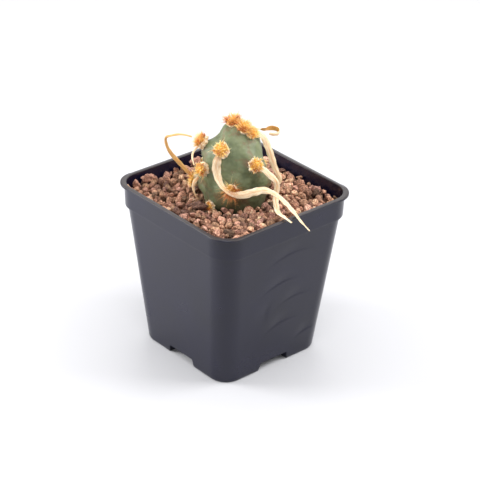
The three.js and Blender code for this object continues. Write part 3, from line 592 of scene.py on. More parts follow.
def fan_faces(ring_first, columns, middle, upward):
    """Triangles from a ring of points to one middle point, facing up the grid or down it."""
    here = np.arange(columns)
    there = (here + 1) % columns
    pair = [here, there] if upward else [there, here]
    corners = np.stack(pair, axis=-1) + ring_first
    return np.column_stack([corners, np.full(columns, middle)])


def closed_grid(points, low, high):
    """A closed shape from a grid of rings of points and one point to close it at each end: its
    points in one list, and its quads and triangles."""
    rows, columns = points.shape[:2]
    count = rows * columns
    ends = [fan_faces(0, columns, count, False),
            fan_faces(count - columns, columns, count + 1, True)]
    points = np.concatenate([points.reshape(-1, 3), [low, high]])
    return points, [grid_faces(rows, columns), np.concatenate(ends)]


def joined(shapes):
    """Several shapes as one: their points end to end, and their faces numbered to match."""
    counts = [len(points) for points, _ in shapes]
    starts = np.concatenate([[0], np.cumsum(counts)[:-1]])
    faces = [group + start for (_, groups), start in zip(shapes, starts) for group in groups]
    return np.concatenate([points for points, _ in shapes]), faces


def new_mesh(name, points, face_groups, attributes=None):
    """A mesh from points in millimetres and arrays of faces with a like number of corners.
    Attributes are given per point: three numbers each."""
    mesh = bpy.data.meshes.new(name)
    mesh.vertices.add(len(points))
    mesh.vertices.foreach_set("co", (np.asarray(points) * MM).astype(np.float32).ravel())
    corners = np.concatenate([group.ravel() for group in face_groups]).astype(np.int32)
    sizes = np.concatenate([np.full(len(group), group.shape[1]) for group in face_groups])
    starts = np.concatenate([[0], np.cumsum(sizes)[:-1]]).astype(np.int32)
    mesh.loops.add(len(corners))
    mesh.loops.foreach_set("vertex_index", corners)
    mesh.polygons.add(len(sizes))
    mesh.polygons.foreach_set("loop_start", starts)
    mesh.update(calc_edges=True)
    for label, values in (attributes or {}).items():
        layer = mesh.attributes.new(label, "FLOAT_VECTOR", "POINT")
        layer.data.foreach_set("vector", np.asarray(values, np.float32).ravel())
    return mesh


def new_piece(mesh, material, node, crease=None):
    """A finished piece of the object: it rides on the part's one body, stands for the named
    node and takes its finish from the slot. Edges sharper than the crease, in degrees, stay
    crisp, and the rest are shaded smooth."""
    mesh.shade_smooth()
    if crease is not None:
        mesh.set_sharp_from_angle(angle=math.radians(crease))
    mesh.materials.append(material)
    piece = bpy.data.objects.new(mesh.name, mesh)
    bpy.context.scene.collection.objects.link(piece)
    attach(piece, "root")
    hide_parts(node)


def linear(colour):
    """An sRGB hex colour as linear red, green, blue and alpha: ((c + 0.055) / 1.055) ^ 2.4
    above 0.04045 and c / 12.92 below."""
    shares = np.array([int(colour[start:start + 2], 16) / 255 for start in (1, 3, 5)])
    bright = ((shares + 0.055) / 1.055) ** 2.4
    return (*np.where(shares > 0.04045, bright, shares / 12.92), 1.0)


# Sockets of the Mix node when it mixes colours
MIX_A = 6
MIX_B = 7
MIX_RESULT = 2


def feed(tree, node, inputs):
    """Gives sockets of a node, by name or number, a value, a hex colour, an output socket or
    another node, which stands for its first output or, where it mixes colours, its result."""
    for socket, value in inputs.items():
        if isinstance(value, bpy.types.Node):
            value = value.outputs[MIX_RESULT if value.bl_idname == "ShaderNodeMix" else 0]
        if isinstance(value, bpy.types.NodeSocket):
            tree.links.new(value, node.inputs[socket])
        elif isinstance(value, str):
            node.inputs[socket].default_value = linear(value)
        else:
            node.inputs[socket].default_value = value


def add(tree, kind, inputs=None, stops=None, **settings):
    """Adds a node to a material: inputs feed its sockets, stops are a ramp's places and hex
    colours, and settings are its own properties."""
    node = tree.nodes.new("ShaderNode" + kind)
    for name, value in settings.items():
        setattr(node, name, value)
    feed(tree, node, inputs or {})
    for index, (place, colour) in enumerate(stops or []):
        elements = node.color_ramp.elements
        stop = elements[index] if index < len(elements) else elements.new(place)
        stop.position = place
        stop.color = linear(colour)
    return node


def new_material(name):
    """A material with a Principled shader on its output: returns the material, its node tree
    and the shader."""
    material = bpy.data.materials.new(name)
    material.use_nodes = True
    tree = material.node_tree
    tree.nodes.clear()
    shader = add(tree, "BsdfPrincipled")
    add(tree, "OutputMaterial", {"Surface": shader})
    return material, tree, shader


def black_polypropylene():
    """Moulded black polypropylene: a deep bluish charcoal with a satin skin and a faint uneven
    gloss from the mould, so the flat sides look smoky grey, not black. Fine grit dust dulls the
    top of the lip, except along the outer edge of the -X and +Y sides and in a crescent at the
    +X -Y corner, where it is rubbed clean."""
    material, tree, shader = new_material("black_polypropylene")
    place = add(tree, "TexCoord").outputs["Object"]
    cloud = add(tree, "TexNoise", {"Vector": place, "Scale": MOULD_CLOUDS, "Detail": 3.0})
    tone = add(tree, "ValToRGB", {"Fac": cloud}, stops=[(0.3, "#0a0a1d"), (0.7, "#0e0e25")])
    gloss = add(tree, "MapRange", {"Value": cloud, "From Min": 0.3, "From Max": 0.7,
                                   "To Min": 0.2, "To Max": 0.28})
    axes = add(tree, "SeparateXYZ", {"Vector": place}).outputs
    minus_y = add(tree, "Math", {0: axes["Y"], 1: -1.0}, operation="MULTIPLY")
    inset = add(tree, "Math", {0: axes["X"], 1: minus_y}, operation="MINIMUM")
    diagonal = add(tree, "Math", {0: axes["X"], 1: axes["Y"]}, operation="SUBTRACT")
    dusty = 1.0
    for value, (start, full) in ((axes["Z"], DUST_HEIGHTS), (inset, DUST_INSETS),
                                 (diagonal, DUST_DIAGONALS)):
        share = add(tree, "MapRange", {"Value": value, "From Min": start * MM,
                                       "From Max": full * MM})
        dusty = add(tree, "Math", {0: dusty, 1: share}, operation="MULTIPLY")
    roughness = add(tree, "MapRange", {"Value": dusty, "To Min": gloss, "To Max": 0.52})
    colour = add(tree, "Mix", {"Factor": dusty, MIX_A: tone, MIX_B: "#241c1e"}, data_type="RGBA")
    grain = add(tree, "TexNoise", {"Vector": place, "Scale": MOULD_GRAIN, "Detail": 2.0})
    bump = add(tree, "Bump", {"Height": grain, "Strength": 0.12, "Distance": 0.06 * MM})
    feed(tree, shader, {"Base Color": colour, "Roughness": roughness, "Normal": bump,
                        "IOR": 1.49})
    return material


def volcanic_grit():
    """Baked volcanic grit, rough and porous: each grain has its own tone, from dark brown to
    pinkish tan, and its own warmth, with a mottle of pale dust and dark hollows and with pits
    about half a millimetre apart."""
    material, tree, shader = new_material("volcanic_grit")
    place = add(tree, "TexCoord").outputs["Object"]
    tint = add(tree, "Attribute", attribute_name="tint").outputs["Vector"]
    own = add(tree, "SeparateXYZ", {"Vector": tint}).outputs
    tone = add(tree, "ValToRGB", {"Fac": own["X"]}, stops=[
        (0.0, "#53433c"), (0.2, "#8f7a6e"), (0.45, "#b7998a"), (0.7, "#d3b7a6"),
        (1.0, "#eedbcb")])
    hue = add(tree, "ValToRGB", {"Fac": own["Y"]}, stops=[
        (0.0, "#ecd2d0"), (0.3, "#f4d6c6"), (0.6, "#f8e0cb"), (1.0, "#fff0d6")])
    tinted = add(tree, "Mix", {"Factor": 1.0, MIX_A: tone, MIX_B: hue},
                 data_type="RGBA", blend_type="MULTIPLY")
    mottle = add(tree, "TexNoise", {"Vector": place, "Scale": GRIT_MOTTLE, "Detail": 4.0,
                                    "Roughness": 0.65})
    dust = add(tree, "ValToRGB", {"Fac": mottle}, stops=[
        (0.38, "#54443e"), (0.5, "#aaa29c"), (0.62, "#fffaf2")])
    colour = add(tree, "Mix", {"Factor": 0.62, MIX_A: tinted, MIX_B: dust},
                 data_type="RGBA", blend_type="OVERLAY")
    pits = add(tree, "TexVoronoi", {"Vector": place, "Scale": GRIT_PITS})
    rough = add(tree, "TexNoise", {"Vector": place, "Scale": GRIT_ROUGHNESS, "Detail": 4.0})
    height = add(tree, "Math", {0: pits, 1: rough}, operation="ADD")
    bump = add(tree, "Bump", {"Height": height, "Strength": 1.0, "Distance": 0.55 * MM})
    feed(tree, shader, {"Base Color": colour, "Normal": bump, "Roughness": 0.92, "IOR": 1.5})
    return material


def cactus_skin():
    """Living cactus skin: sage green with a waxy bloom, olive and brownish corky patches, fine
    pale dots a fraction of a millimetre wide, and soft light inside the flesh. It is older and
    darker towards the grit, partly as aged skin and partly as painted shade."""
    material, tree, shader = new_material("cactus_skin")
    place = add(tree, "TexCoord").outputs["Object"]
    broad = add(tree, "TexNoise", {"Vector": place, "Scale": SKIN_GREENS, "Detail": 3.0,
                                   "Roughness": 0.55})
    green = add(tree, "ValToRGB", {"Fac": broad}, stops=[
        (0.3, "#4b563a"), (0.48, "#707957"), (0.68, "#8b916d")])
    patchy = add(tree, "TexNoise", {"Vector": place, "Scale": SKIN_CORK, "Detail": 4.0,
                                    "Roughness": 0.6})
    brown = add(tree, "ValToRGB", {"Fac": patchy}, stops=[(0.52, "#000000"), (0.66, "#e0e0e0")])
    corky = add(tree, "Mix", {"Factor": brown, MIX_A: green, MIX_B: "#7f5d44"}, data_type="RGBA")
    axes = add(tree, "SeparateXYZ", {"Vector": place}).outputs
    # Darker towards the grit: partly aged skin, partly painted shade
    low = add(tree, "MapRange", {"Value": axes["Z"], "From Min": SKIN_AGEING_AND_SHADE[0] * MM,
                                 "From Max": SKIN_AGEING_AND_SHADE[1] * MM, "To Max": 0.8})
    aged_and_shaded = add(tree, "Mix", {"Factor": low, MIX_A: corky, MIX_B: "#3c402a"}, data_type="RGBA")
    dots = add(tree, "TexVoronoi", {"Vector": place, "Scale": SKIN_DOTS})
    speck = add(tree, "ValToRGB", {"Fac": dots}, stops=[(0.1, "#b9bfa4"), (0.32, "#8f8f8f")])
    colour = add(tree, "Mix", {"Factor": 0.35, MIX_A: aged_and_shaded, MIX_B: speck},
                 data_type="RGBA", blend_type="OVERLAY")
    fine = add(tree, "TexNoise", {"Vector": place, "Scale": SKIN_GRAIN, "Detail": 4.0})
    bump = add(tree, "Bump", {"Height": fine, "Strength": 0.35, "Distance": 0.2 * MM})
    feed(tree, shader, {"Base Color": colour, "Normal": bump, "Roughness": 0.48, "IOR": 1.42,
                        "Subsurface Weight": 0.25, "Subsurface Scale": 0.6,
                        "Subsurface Radius": (0.0016, 0.002, 0.0008)})
    return material


def areole_wool():
    """Areole wool, a felt of plant hairs: cream, matted, with ochre in its hollows."""
    material, tree, shader = new_material("areole_wool")
    place = add(tree, "TexCoord").outputs["Object"]
    matted = add(tree, "TexNoise", {"Vector": place, "Scale": WOOL_MATTING, "Detail": 4.0,
                                    "Roughness": 0.6})
    colour = add(tree, "ValToRGB", {"Fac": matted}, stops=[
        (0.3, "#b98652"), (0.46, "#e3bf90"), (0.64, "#f5e6cd")])
    bump = add(tree, "Bump", {"Height": matted, "Strength": 0.6, "Distance": 0.3 * MM})
    feed(tree, shader, {"Base Color": colour, "Normal": bump, "Roughness": 0.95,
                        "Sheen Weight": 0.4, "Subsurface Weight": 0.3,
                        "Subsurface Scale": 0.5, "Subsurface Radius": (0.0012, 0.0008, 0.0004)})
    return material


def glochid_bristle():
    """Glochids, fine barbed bristles: dark at the root and pale at the tip, honey yellow where
    they are young and rusty brown on the older side of the tuft."""
    material, tree, shader = new_material("glochid_bristle")
    growth = add(tree, "Attribute", attribute_name="growth").outputs["Vector"]
    own = add(tree, "SeparateXYZ", {"Vector": growth}).outputs
    honey = add(tree, "ValToRGB", {"Fac": own["X"]}, stops=[
        (0.0, "#db9831"), (0.35, "#fbcc60"), (1.0, "#fff2c6")])
    rust = add(tree, "ValToRGB", {"Fac": own["X"]}, stops=[
        (0.0, "#652406"), (0.4, "#c05a10"), (1.0, "#e39748")])
    colour = add(tree, "Mix", {"Factor": own["Y"], MIX_A: honey, MIX_B: rust}, data_type="RGBA")
    feed(tree, shader, {"Base Color": colour, "Roughness": 0.55, "Subsurface Weight": 0.2,
                        "Subsurface Scale": 0.3, "Subsurface Radius": (0.001, 0.0006, 0.0003)})
    return material


def papery_sheath():
    """Dry papery spine: straw-coloured fibres about 0.2 mm apart run along it, with a darker
    ochre rib down the middle, a rusty root and pale thin edges that let light through."""
    material, tree, shader = new_material("papery_sheath")
    lie = add(tree, "Attribute", attribute_name="lie").outputs["Vector"]
    stretched = add(tree, "Mapping", {"Vector": lie, "Scale": (1.0, PAPER_STRETCH, 1.0)})
    fibres = add(tree, "TexNoise", {"Vector": stretched, "Scale": PAPER_FIBRES, "Detail": 3.0,
                                    "Roughness": 0.6})
    straw = add(tree, "ValToRGB", {"Fac": fibres}, stops=[
        (0.3, "#cfa679"), (0.5, "#ead0ad"), (0.7, "#f8ebd8")])
    across = add(tree, "SeparateXYZ", {"Vector": lie}).outputs["Z"]
    from_middle = add(tree, "Math", {0: across}, operation="ABSOLUTE")
    rib = add(tree, "ValToRGB", {"Fac": from_middle}, stops=[(0.06, "#ffffff"), (0.3, "#000000")])
    ribbed = add(tree, "Math", {0: rib, 1: 0.35}, operation="MULTIPLY")
    tint = add(tree, "Attribute", attribute_name="tint").outputs["Vector"]
    own = add(tree, "SeparateXYZ", {"Vector": tint}).outputs
    rooted = add(tree, "Math", {0: own["Y"], 1: 0.7}, operation="MULTIPLY")
    colour = straw
    # The tint's first number is how old the spine is, and on the back of crown_curl painted shade
    for share, tone in ((ribbed, "#c48f4e"), (own["X"], "#c99a52"), (rooted, "#a86a2c")):
        colour = add(tree, "Mix", {"Factor": share, MIX_A: colour, MIX_B: tone},
                     data_type="RGBA")
    bump = add(tree, "Bump", {"Height": fibres, "Strength": 0.5, "Distance": 0.2 * MM})
    feed(tree, shader, {"Base Color": colour, "Normal": bump, "Roughness": 0.6,
                        "Subsurface Weight": 0.35, "Subsurface Scale": 0.5,
                        "Subsurface Radius": (0.0012, 0.0009, 0.0006)})
    return material


def pale_board():
    """Painted board: pale grey, faintly uneven and matt, which the lights bring up to white."""
    material, tree, shader = new_material("pale_board")
    place = add(tree, "TexCoord").outputs["Object"]
    cloud = add(tree, "TexNoise", {"Vector": place, "Scale": TABLE_CLOUDS})
    tone = add(tree, "ValToRGB", {"Fac": cloud}, stops=[(0.2, "#bababd"), (0.8, "#bebec1")])
    feed(tree, shader, {"Base Color": tone, "Roughness": 0.8})
    return material


def rounded_squares(half, corner, height, bulge):
    """Level rings round the pot, one for each entry of the arrays: squares with round corners,
    points (half - corner) + (corner + swell) (cos t, sin t) round each corner and straight
    lines between, where swell is bulge |sin 2t| ^ fullness."""
    half, corner, height, bulge = (np.reshape(a, (-1, 1)) for a in (half, corner, height, bulge))
    turn = np.linspace(0, math.pi / 2, CORNER_STEPS + 1)
    reach = corner + bulge * np.abs(np.sin(2 * turn)) ** BULGE_FULLNESS
    arc_x = half - corner + reach * np.cos(turn)
    arc_y = half - corner + reach * np.sin(turn)
    share = np.arange(1, SIDE_STEPS) / SIDE_STEPS
    side_x = half - corner - 2 * (half - corner) * share
    side_y = half + 0 * share
    x = np.concatenate([arc_x, side_x], axis=1)
    y = np.concatenate([arc_y, side_y], axis=1)
    quarter = np.stack([x, y, height + 0 * x], axis=-1)
    return np.concatenate([quarter @ turned(side * math.pi / 2).T for side in range(4)], axis=1)


def body_half(height):
    """Half the pot body's width at a height: its walls lean out evenly."""
    return np.interp(height, [0, BAND_BOTTOM], [POT_BOTTOM_WIDTH / 2, POT_BODY_TOP_WIDTH / 2])


def body_corner(height):
    """The radius of the pot body's corners at a height."""
    return np.interp(height, [0, BAND_BOTTOM], [BOTTOM_CORNER, BODY_CORNER])


def band_half(height):
    """Half the rim band's width at a height."""
    return BAND_TOP_WIDTH / 2 - BAND_DRAFT * (POT_HEIGHT - height) / BAND_HEIGHT


def edge_round(rounding, steps):
    """A quarter circle round an edge, from below up: pairs of 1 - sin t and 1 - cos t times the
    rounding. Round a lower edge they are inset and rise, and round an upper one they are drop
    and inset."""
    t = np.linspace(0, math.pi / 2, steps)
    return rounding * np.column_stack([1 - np.sin(t), 1 - np.cos(t)])


def pot_rings():
    """The pot's profile as rings from the underside's edge, up the outside, over the lip and
    down the inside to the floor: half width, corner radius, height and corner bulge. The foot
    and the lip have rounded edges, and the band ends below in a crisp ledge."""
    rings = []
    for inset, rise in edge_round(FOOT_ROUNDING, FOOT_RINGS):
        rings.append((body_half(0) - inset, BOTTOM_CORNER - inset, rise, 0))
    for z in np.linspace(FOOT_ROUNDING, LEDGE_HEIGHT, BODY_RINGS + 1)[1:]:
        rings.append((body_half(z), body_corner(z), z, 0))

    ledge = LEDGE_HEIGHT + LEDGE_RISE
    for inset, rise in edge_round(LEDGE_ROUNDING, LEDGE_RINGS):
        rings.append((band_half(ledge + rise) - inset, BAND_CORNER - inset, ledge + rise, 0))
    lip_bottom = POT_HEIGHT - LIP_THICK
    for z in np.linspace(ledge + LEDGE_ROUNDING, lip_bottom, BAND_RINGS + 1)[1:]:
        rings.append((band_half(z), BAND_CORNER, z, 0))

    lip_half = LIP_WIDTH / 2
    for inset, rise in edge_round(LIP_UNDER_ROUNDING, LIP_UNDER_RINGS):
        rings.append((lip_half - inset, LIP_CORNER - inset, lip_bottom + rise, CORNER_BULGE))
    over_lip = edge_round(LIP_ROUNDING, LIP_RINGS)
    for drop, inset in over_lip:
        rings.append((lip_half - inset, LIP_CORNER - inset, POT_HEIGHT - drop, CORNER_BULGE))
    for drop, inset in over_lip[::-1]:
        inner = WALL - inset
        rings.append((band_half(POT_HEIGHT) - inner, BAND_CORNER - inner, POT_HEIGHT - drop, 0))

    band_turn, body_turn = BAND_BOTTOM + WALL, SHOULDER_BOTTOM + WALL
    rings.append((band_half(band_turn) - WALL, BAND_CORNER - WALL, band_turn, 0))
    rings.append((body_half(body_turn) - WALL, BODY_CORNER - WALL, body_turn, 0))
    for z in np.linspace(SHOULDER_BOTTOM, FLOOR, INSIDE_RINGS):
        rings.append((body_half(z) - WALL, body_corner(z) - WALL, z, 0))
    return np.array(rings)


def dent_depth(points):
    """How far the +X side is pressed in: a sum of long soft hollows, depth exp(-a^2 - b^2), a
    and b being the distances along and across each dent over its half length and width. The
    width is less below its middle line than above, and the line sags by the square of the
    distance along it."""
    depth = np.zeros(points.shape[:-1])
    for y, z, half_long, half_wide, tilt, deep in DENTS:
        cosine, sine = math.cos(math.radians(tilt)), math.sin(math.radians(tilt))
        along = (points[..., 1] - y) * cosine + (points[..., 2] - z) * sine
        across = (points[..., 2] - z) * cosine - (points[..., 1] - y) * sine
        across = across + DENT_SAG * along ** 2 / half_long
        wide = half_wide * np.where(across < 0, DENT_BELOW, DENT_ABOVE)
        depth += deep * np.exp(-(along / half_long) ** 2 - (across / wide) ** 2)
    return depth


def block_mesh(name, *levels):
    """A closed block across the +X side from its lower and its upper face, each given by
    its height, its inner and outer x, and half its width along Y."""
    corners = [(x, y, z) for z, inner, outer, side in levels
               for x, y in ((inner, -side), (outer, -side), (outer, side), (inner, side))]
    ends = np.array([(3, 2, 1, 0), (4, 5, 6, 7)])
    return new_mesh(name, corners, [ends, grid_faces(2, 4)])


def prism_mesh(name, outline, low, high):
    """A closed upright prism over an anticlockwise outline of x and y."""
    count = len(outline)
    base = np.column_stack([outline, np.full(count, low)])
    top = np.column_stack([outline, np.full(count, high)])
    ends = np.array([np.arange(count)[::-1], np.arange(count) + count])
    return new_mesh(name, np.concatenate([base, top]), [grid_faces(2, count), ends])


def cut_mesh(mesh, tools, operation):
    """A mesh joined with or cut by the tool meshes, each turned to all four sides of the pot."""
    body = bpy.data.objects.new("body", mesh)
    bpy.context.scene.collection.objects.link(body)
    helpers = []
    for tool in tools:
        for side in range(4):
            helper = bpy.data.objects.new("helper", tool.copy())
            helper.data.transform(Matrix.Rotation(side * math.pi / 2, 4, "Z"))
            bpy.context.scene.collection.objects.link(helper)
            change = body.modifiers.new("change", "BOOLEAN")
            change.operation = operation
            change.solver = "EXACT"
            change.object = helper
            helpers.append(helper)
    bpy.context.view_layer.update()
    shaped = body.evaluated_get(bpy.context.evaluated_depsgraph_get())
    finished = bpy.data.meshes.new_from_object(shaped)
    for helper in [body, *helpers]:
        bpy.data.objects.remove(helper)
    return finished


def pot_shell():
    """The pot without its drain pockets: one closed shell, dented on the +X side."""
    half, corner, height, bulge = pot_rings().T
    points = rounded_squares(half, corner, height, bulge)
    outer_rows = np.arange(len(points))[:, None] < FOOT_RINGS + BODY_RINGS
    dented = outer_rows & (points[..., 0] > half[:, None] - SIDE_NEARNESS)
    points[..., 0] -= np.where(dented, dent_depth(points), 0)
    return new_mesh("pot_shell", *closed_grid(points, (0, 0, 0), (0, 0, FLOOR)))


def make_pot(material):
    """The nursery pot, with four drain pockets raised in its floor: a block joined to the shell
    on each side, and a notch and a round drain cut out of it."""
    inner = POT_BOTTOM_WIDTH / 2 - POCKET_DEPTH
    roof = NOTCH_HEIGHT + FLOOR
    side = NOTCH_WIDE / 2 + WALL
    half_floor = FLOOR / 2
    block = block_mesh("pocket",
                       (half_floor, inner - WALL, body_half(half_floor) - WALL / 2, side),
                       (roof, inner - WALL, body_half(roof) - WALL / 2, side))
    shell = cut_mesh(pot_shell(), [block], "UNION")

    slope = (NOTCH_WIDE - NOTCH_NARROW) / 2 / NOTCH_HEIGHT
    outer = POT_BOTTOM_WIDTH / 2 + CUT_PAST
    notch = block_mesh("notch",
                       (-CUT_BELOW, inner, outer, NOTCH_WIDE / 2 + slope * CUT_BELOW),
                       (NOTCH_HEIGHT, inner, outer, NOTCH_NARROW / 2))
    turns = np.linspace(0, 2 * math.pi, DRAIN_SIDES, endpoint=False)
    ring = DRAIN_RADIUS * np.column_stack([np.cos(turns), np.sin(turns)])
    ring[:, 0] += inner + DRAIN_RADIUS + 2 * WALL
    drain = prism_mesh("drain", ring, NOTCH_HEIGHT - WALL, roof + 2 * WALL)
    shell = cut_mesh(shell, [notch, drain], "DIFFERENCE")
    shell.name = "pot_moulding"
    new_piece(shell, material, "pot", crease=38)


def unit_ball(rings, columns):
    """Directions over a ball, as a grid of rings from the lower pole to the upper, and its
    faces. Both poles come last in the list."""
    tilt = np.linspace(0, math.pi, rings + 2)[1:-1, None]
    turn = np.linspace(0, 2 * math.pi, columns, endpoint=False)[None, :]
    ring = np.stack([np.sin(tilt) * np.cos(turn), np.sin(tilt) * np.sin(turn),
                     -np.cos(tilt) + 0 * turn], axis=-1)
    return closed_grid(ring, (0, 0, -1), (0, 0, 1))


def stem_radius(directions):
    """The stem's radius in directions from its middle: an egg of revolution, 1 over the length
    of (level / half width, height / rise or drop), with height exp(-a^2 / spread^2) more for
    each tubercle, a being the angle from its own direction."""
    level = np.hypot(directions[..., 0], directions[..., 1]) / STEM_HALF_WIDTH
    upright = directions[..., 2] / np.where(directions[..., 2] > 0, STEM_RISE, STEM_DROP)
    radius = 1 / np.hypot(level, upright)
    for towards, height, spread in TUBERCLES:
        way = unit(np.array(towards) - STEM_MIDDLE)
        radius = radius + height * np.exp(-2 * (1 - directions @ way) / spread ** 2)
    return radius


def make_stem(material):
    """The stem: the model's own egg with tubercles, with faint lumps on its skin."""
    directions, faces = unit_ball(*STEM_GRID)
    points = STEM_MIDDLE + directions * stem_radius(directions)[:, None]
    points = points + directions * relief(points, SKIN_LUMPS, SKIN_LUMP_SEED)[:, None]
    new_piece(new_mesh("stem_skin", to_pot(points), faces), material, "stem")


def stem_edge():
    """How far the stem reaches from the pot's axis at the grit's level: turns about Z in the
    pot's frame, and the reach of its points between the bed and the top of the grains there."""
    turns = np.linspace(-math.pi, math.pi, EDGE_TURNS)
    directions, _ = unit_ball(*EDGE_GRID)
    points = to_pot(STEM_MIDDLE + directions * stem_radius(directions)[:, None])
    near = points[np.abs(points[:, 2] - GRIT_LEVEL) < EDGE_REACH]
    angle = np.arctan2(near[:, 1], near[:, 0])
    order = np.argsort(angle)
    reach = np.hypot(near[:, 0], near[:, 1])[order]
    return turns, np.interp(turns, angle[order], reach, period=2 * math.pi)


def icosphere(splits):
    """A ball of even triangles: each of an icosahedron's faces is split into four, as often as
    splits says, with the new corners pushed out to the ball."""
    golden = (1 + math.sqrt(5)) / 2
    points = unit([(-1, golden, 0), (1, golden, 0), (-1, -golden, 0), (1, -golden, 0),
                   (0, -1, golden), (0, 1, golden), (0, -1, -golden), (0, 1, -golden),
                   (golden, 0, -1), (golden, 0, 1), (-golden, 0, -1), (-golden, 0, 1)])
    faces = np.array([(0, 11, 5), (0, 5, 1), (0, 1, 7), (0, 7, 10), (0, 10, 11),
                      (1, 5, 9), (5, 11, 4), (11, 10, 2), (10, 7, 6), (7, 1, 8),
                      (3, 9, 4), (3, 4, 2), (3, 2, 6), (3, 6, 8), (3, 8, 9),
                      (4, 9, 5), (2, 4, 11), (6, 2, 10), (8, 6, 7), (9, 8, 1)])
    for _ in range(splits):
        sides = np.sort(faces[:, [[0, 1], [1, 2], [2, 0]]].reshape(-1, 2), axis=1)
        pairs, which = np.unique(sides, axis=0, return_inverse=True)
        middles = which.reshape(-1, 3) + len(points)
        points = np.concatenate([points, unit(points[pairs].mean(axis=1))])
        a, b, c = faces.T
        ab, bc, ca = middles.T
        quarters = (a, ab, ca), (ab, b, bc), (ca, bc, c), (ab, bc, ca)
        faces = np.concatenate([np.column_stack(corners) for corners in quarters])
    return points, faces


def under_stone(spot, height):
    """Whether a grain at a spot and height would hide a larger stone or the lowest pad: its
    level distance from the middle, over the stone's own radii and a margin, is under 1 and it
    isn't well below it."""
    for (x, y, z), (long, wide, tall), turn, _ in [*STONES, LOW_PAD]:
        cosine, sine = math.cos(math.radians(turn)), math.sin(math.radians(turn))
        along = ((spot[0] - x) * cosine + (spot[1] - y) * sine) / (long + CLEAR_MARGIN)
        across = ((spot[1] - y) * cosine - (spot[0] - x) * sine) / (wide + CLEAR_MARGIN)
        if math.hypot(along, across) < 1 and height > z - tall:
            return True
    return False


def settle_grains(draw, stem_reach):
    """Drops round grains one by one: each takes, of a few places drawn at random, the one where
    it comes to rest lowest, and is left out if it would stand above the grit's top there. It
    rests at the highest of z + sqrt((n (r + R))^2 - d^2) over the grains below it, n being how
    near they come and d its level distance from each. The top rises towards the walls, most at
    the -X wall. Stem reach gives how far the stem stands out at turns about Z."""
    centres = np.zeros((0, 3))
    radii = np.zeros(0)
    low, high = GRAIN_RADII
    for _ in range(GRAIN_DROPS):
        radius = low + (high - low) * draw.beta(*GRAIN_SPREAD)
        reach = BAND_TOP_WIDTH / 2 - WALL - GAP - BAND_DRAFT - NEAR_WALL * radius
        spots = draw.uniform(-reach, reach, (GRAIN_TRIES, 2))
        away = np.hypot(spots[:, 0], spots[:, 1])
        turns = np.arctan2(spots[:, 1], spots[:, 0])
        spots = spots[away > np.interp(turns, *stem_reach) + NEAR_STEM * radius]
        if not len(spots):
            continue
        apart = ((spots[:, None] - centres[None, :, :2]) ** 2).sum(axis=-1)
        room = (NEAR_GRAIN * (radius + radii)) ** 2 - apart
        rest = np.where(room > 0, centres[:, 2] + np.sqrt(np.maximum(room, 0)), 0)
        height = np.maximum(rest.max(axis=1, initial=0), GRIT_LEVEL - GRIT_DEPTH + radius)
        best = np.argmin(height)
        if under_stone(spots[best], height[best]):
            continue
        heap = GRIT_HEAP * np.clip(-spots[best, 0] / reach, 0, 1) ** 2
        heap += RIM_HEAP * np.clip(np.abs(spots[best]).max() / reach, 0, 1) ** 3
        if height[best] + NEAR_SURFACE * radius > GRIT_TOP + heap:
            continue
        centres = np.concatenate([centres, [[*spots[best], height[best]]]])
        radii = np.append(radii, radius)
    return centres, radii


def random_turns(draw, count):
    """Rotation matrices spread evenly over all turns, from random unit quaternions."""
    w, x, y, z = unit(draw.normal(size=(count, 4))).T
    rows = [(1 - 2 * (y * y + z * z), 2 * (x * y - z * w), 2 * (x * z + y * w)),
            (2 * (x * y + z * w), 1 - 2 * (x * x + z * z), 2 * (y * z - x * w)),
            (2 * (x * z - y * w), 2 * (y * z + x * w), 1 - 2 * (x * x + y * y))]
    return np.stack([np.stack(row, axis=-1) for row in rows], axis=1)


def broken_stones(draw, ball, count, flats):
    """Broken pebbles: a ball whose radius in each direction is the least of 1 and distance /
    (direction . flat) over random flats, which leaves lumps with worn flat sides, and then soft
    waves height cos(turns direction . flat + phase) along the first few flats."""
    ways = unit(draw.normal(size=(count, flats, 3)))
    distances = draw.uniform(*FLAT_DISTANCES, (count, flats))
    facing = np.einsum("vk,nfk->nvf", ball, ways)
    reach = distances[:, None, :] / np.maximum(facing, LEAST_FACING)
    phases = draw.uniform(0, 2 * math.pi, (count, 1, WAVE_COUNT))
    waves = np.cos(WAVE_TURNS * facing[..., :WAVE_COUNT] + phases)
    radius = np.minimum(1.0, reach.min(axis=-1)) + WAVE_HEIGHT * waves.sum(axis=-1)
    return ball[None] * radius[..., None]


def inside_pot(points):
    """Points moved in to the pot's inner wall where they lie past it: past the straight sides
    straight in, and past a round corner towards the corner's own middle."""
    height = points[..., 2]
    half = np.where(height > BAND_BOTTOM + WALL, band_half(height), body_half(height))
    corner = BAND_CORNER - WALL
    straight = (half - WALL - WALL_CLEARANCE - corner)[..., None]
    level = np.abs(points[..., :2])
    past = np.maximum(level - straight, 0)
    length = np.linalg.norm(past, axis=-1, keepdims=True)
    past = past * np.minimum(1, corner / np.maximum(length, 1e-6))
    moved = np.sign(points[..., :2]) * (np.minimum(level, straight) + past)
    return np.concatenate([moved, points[..., 2:]], axis=-1)


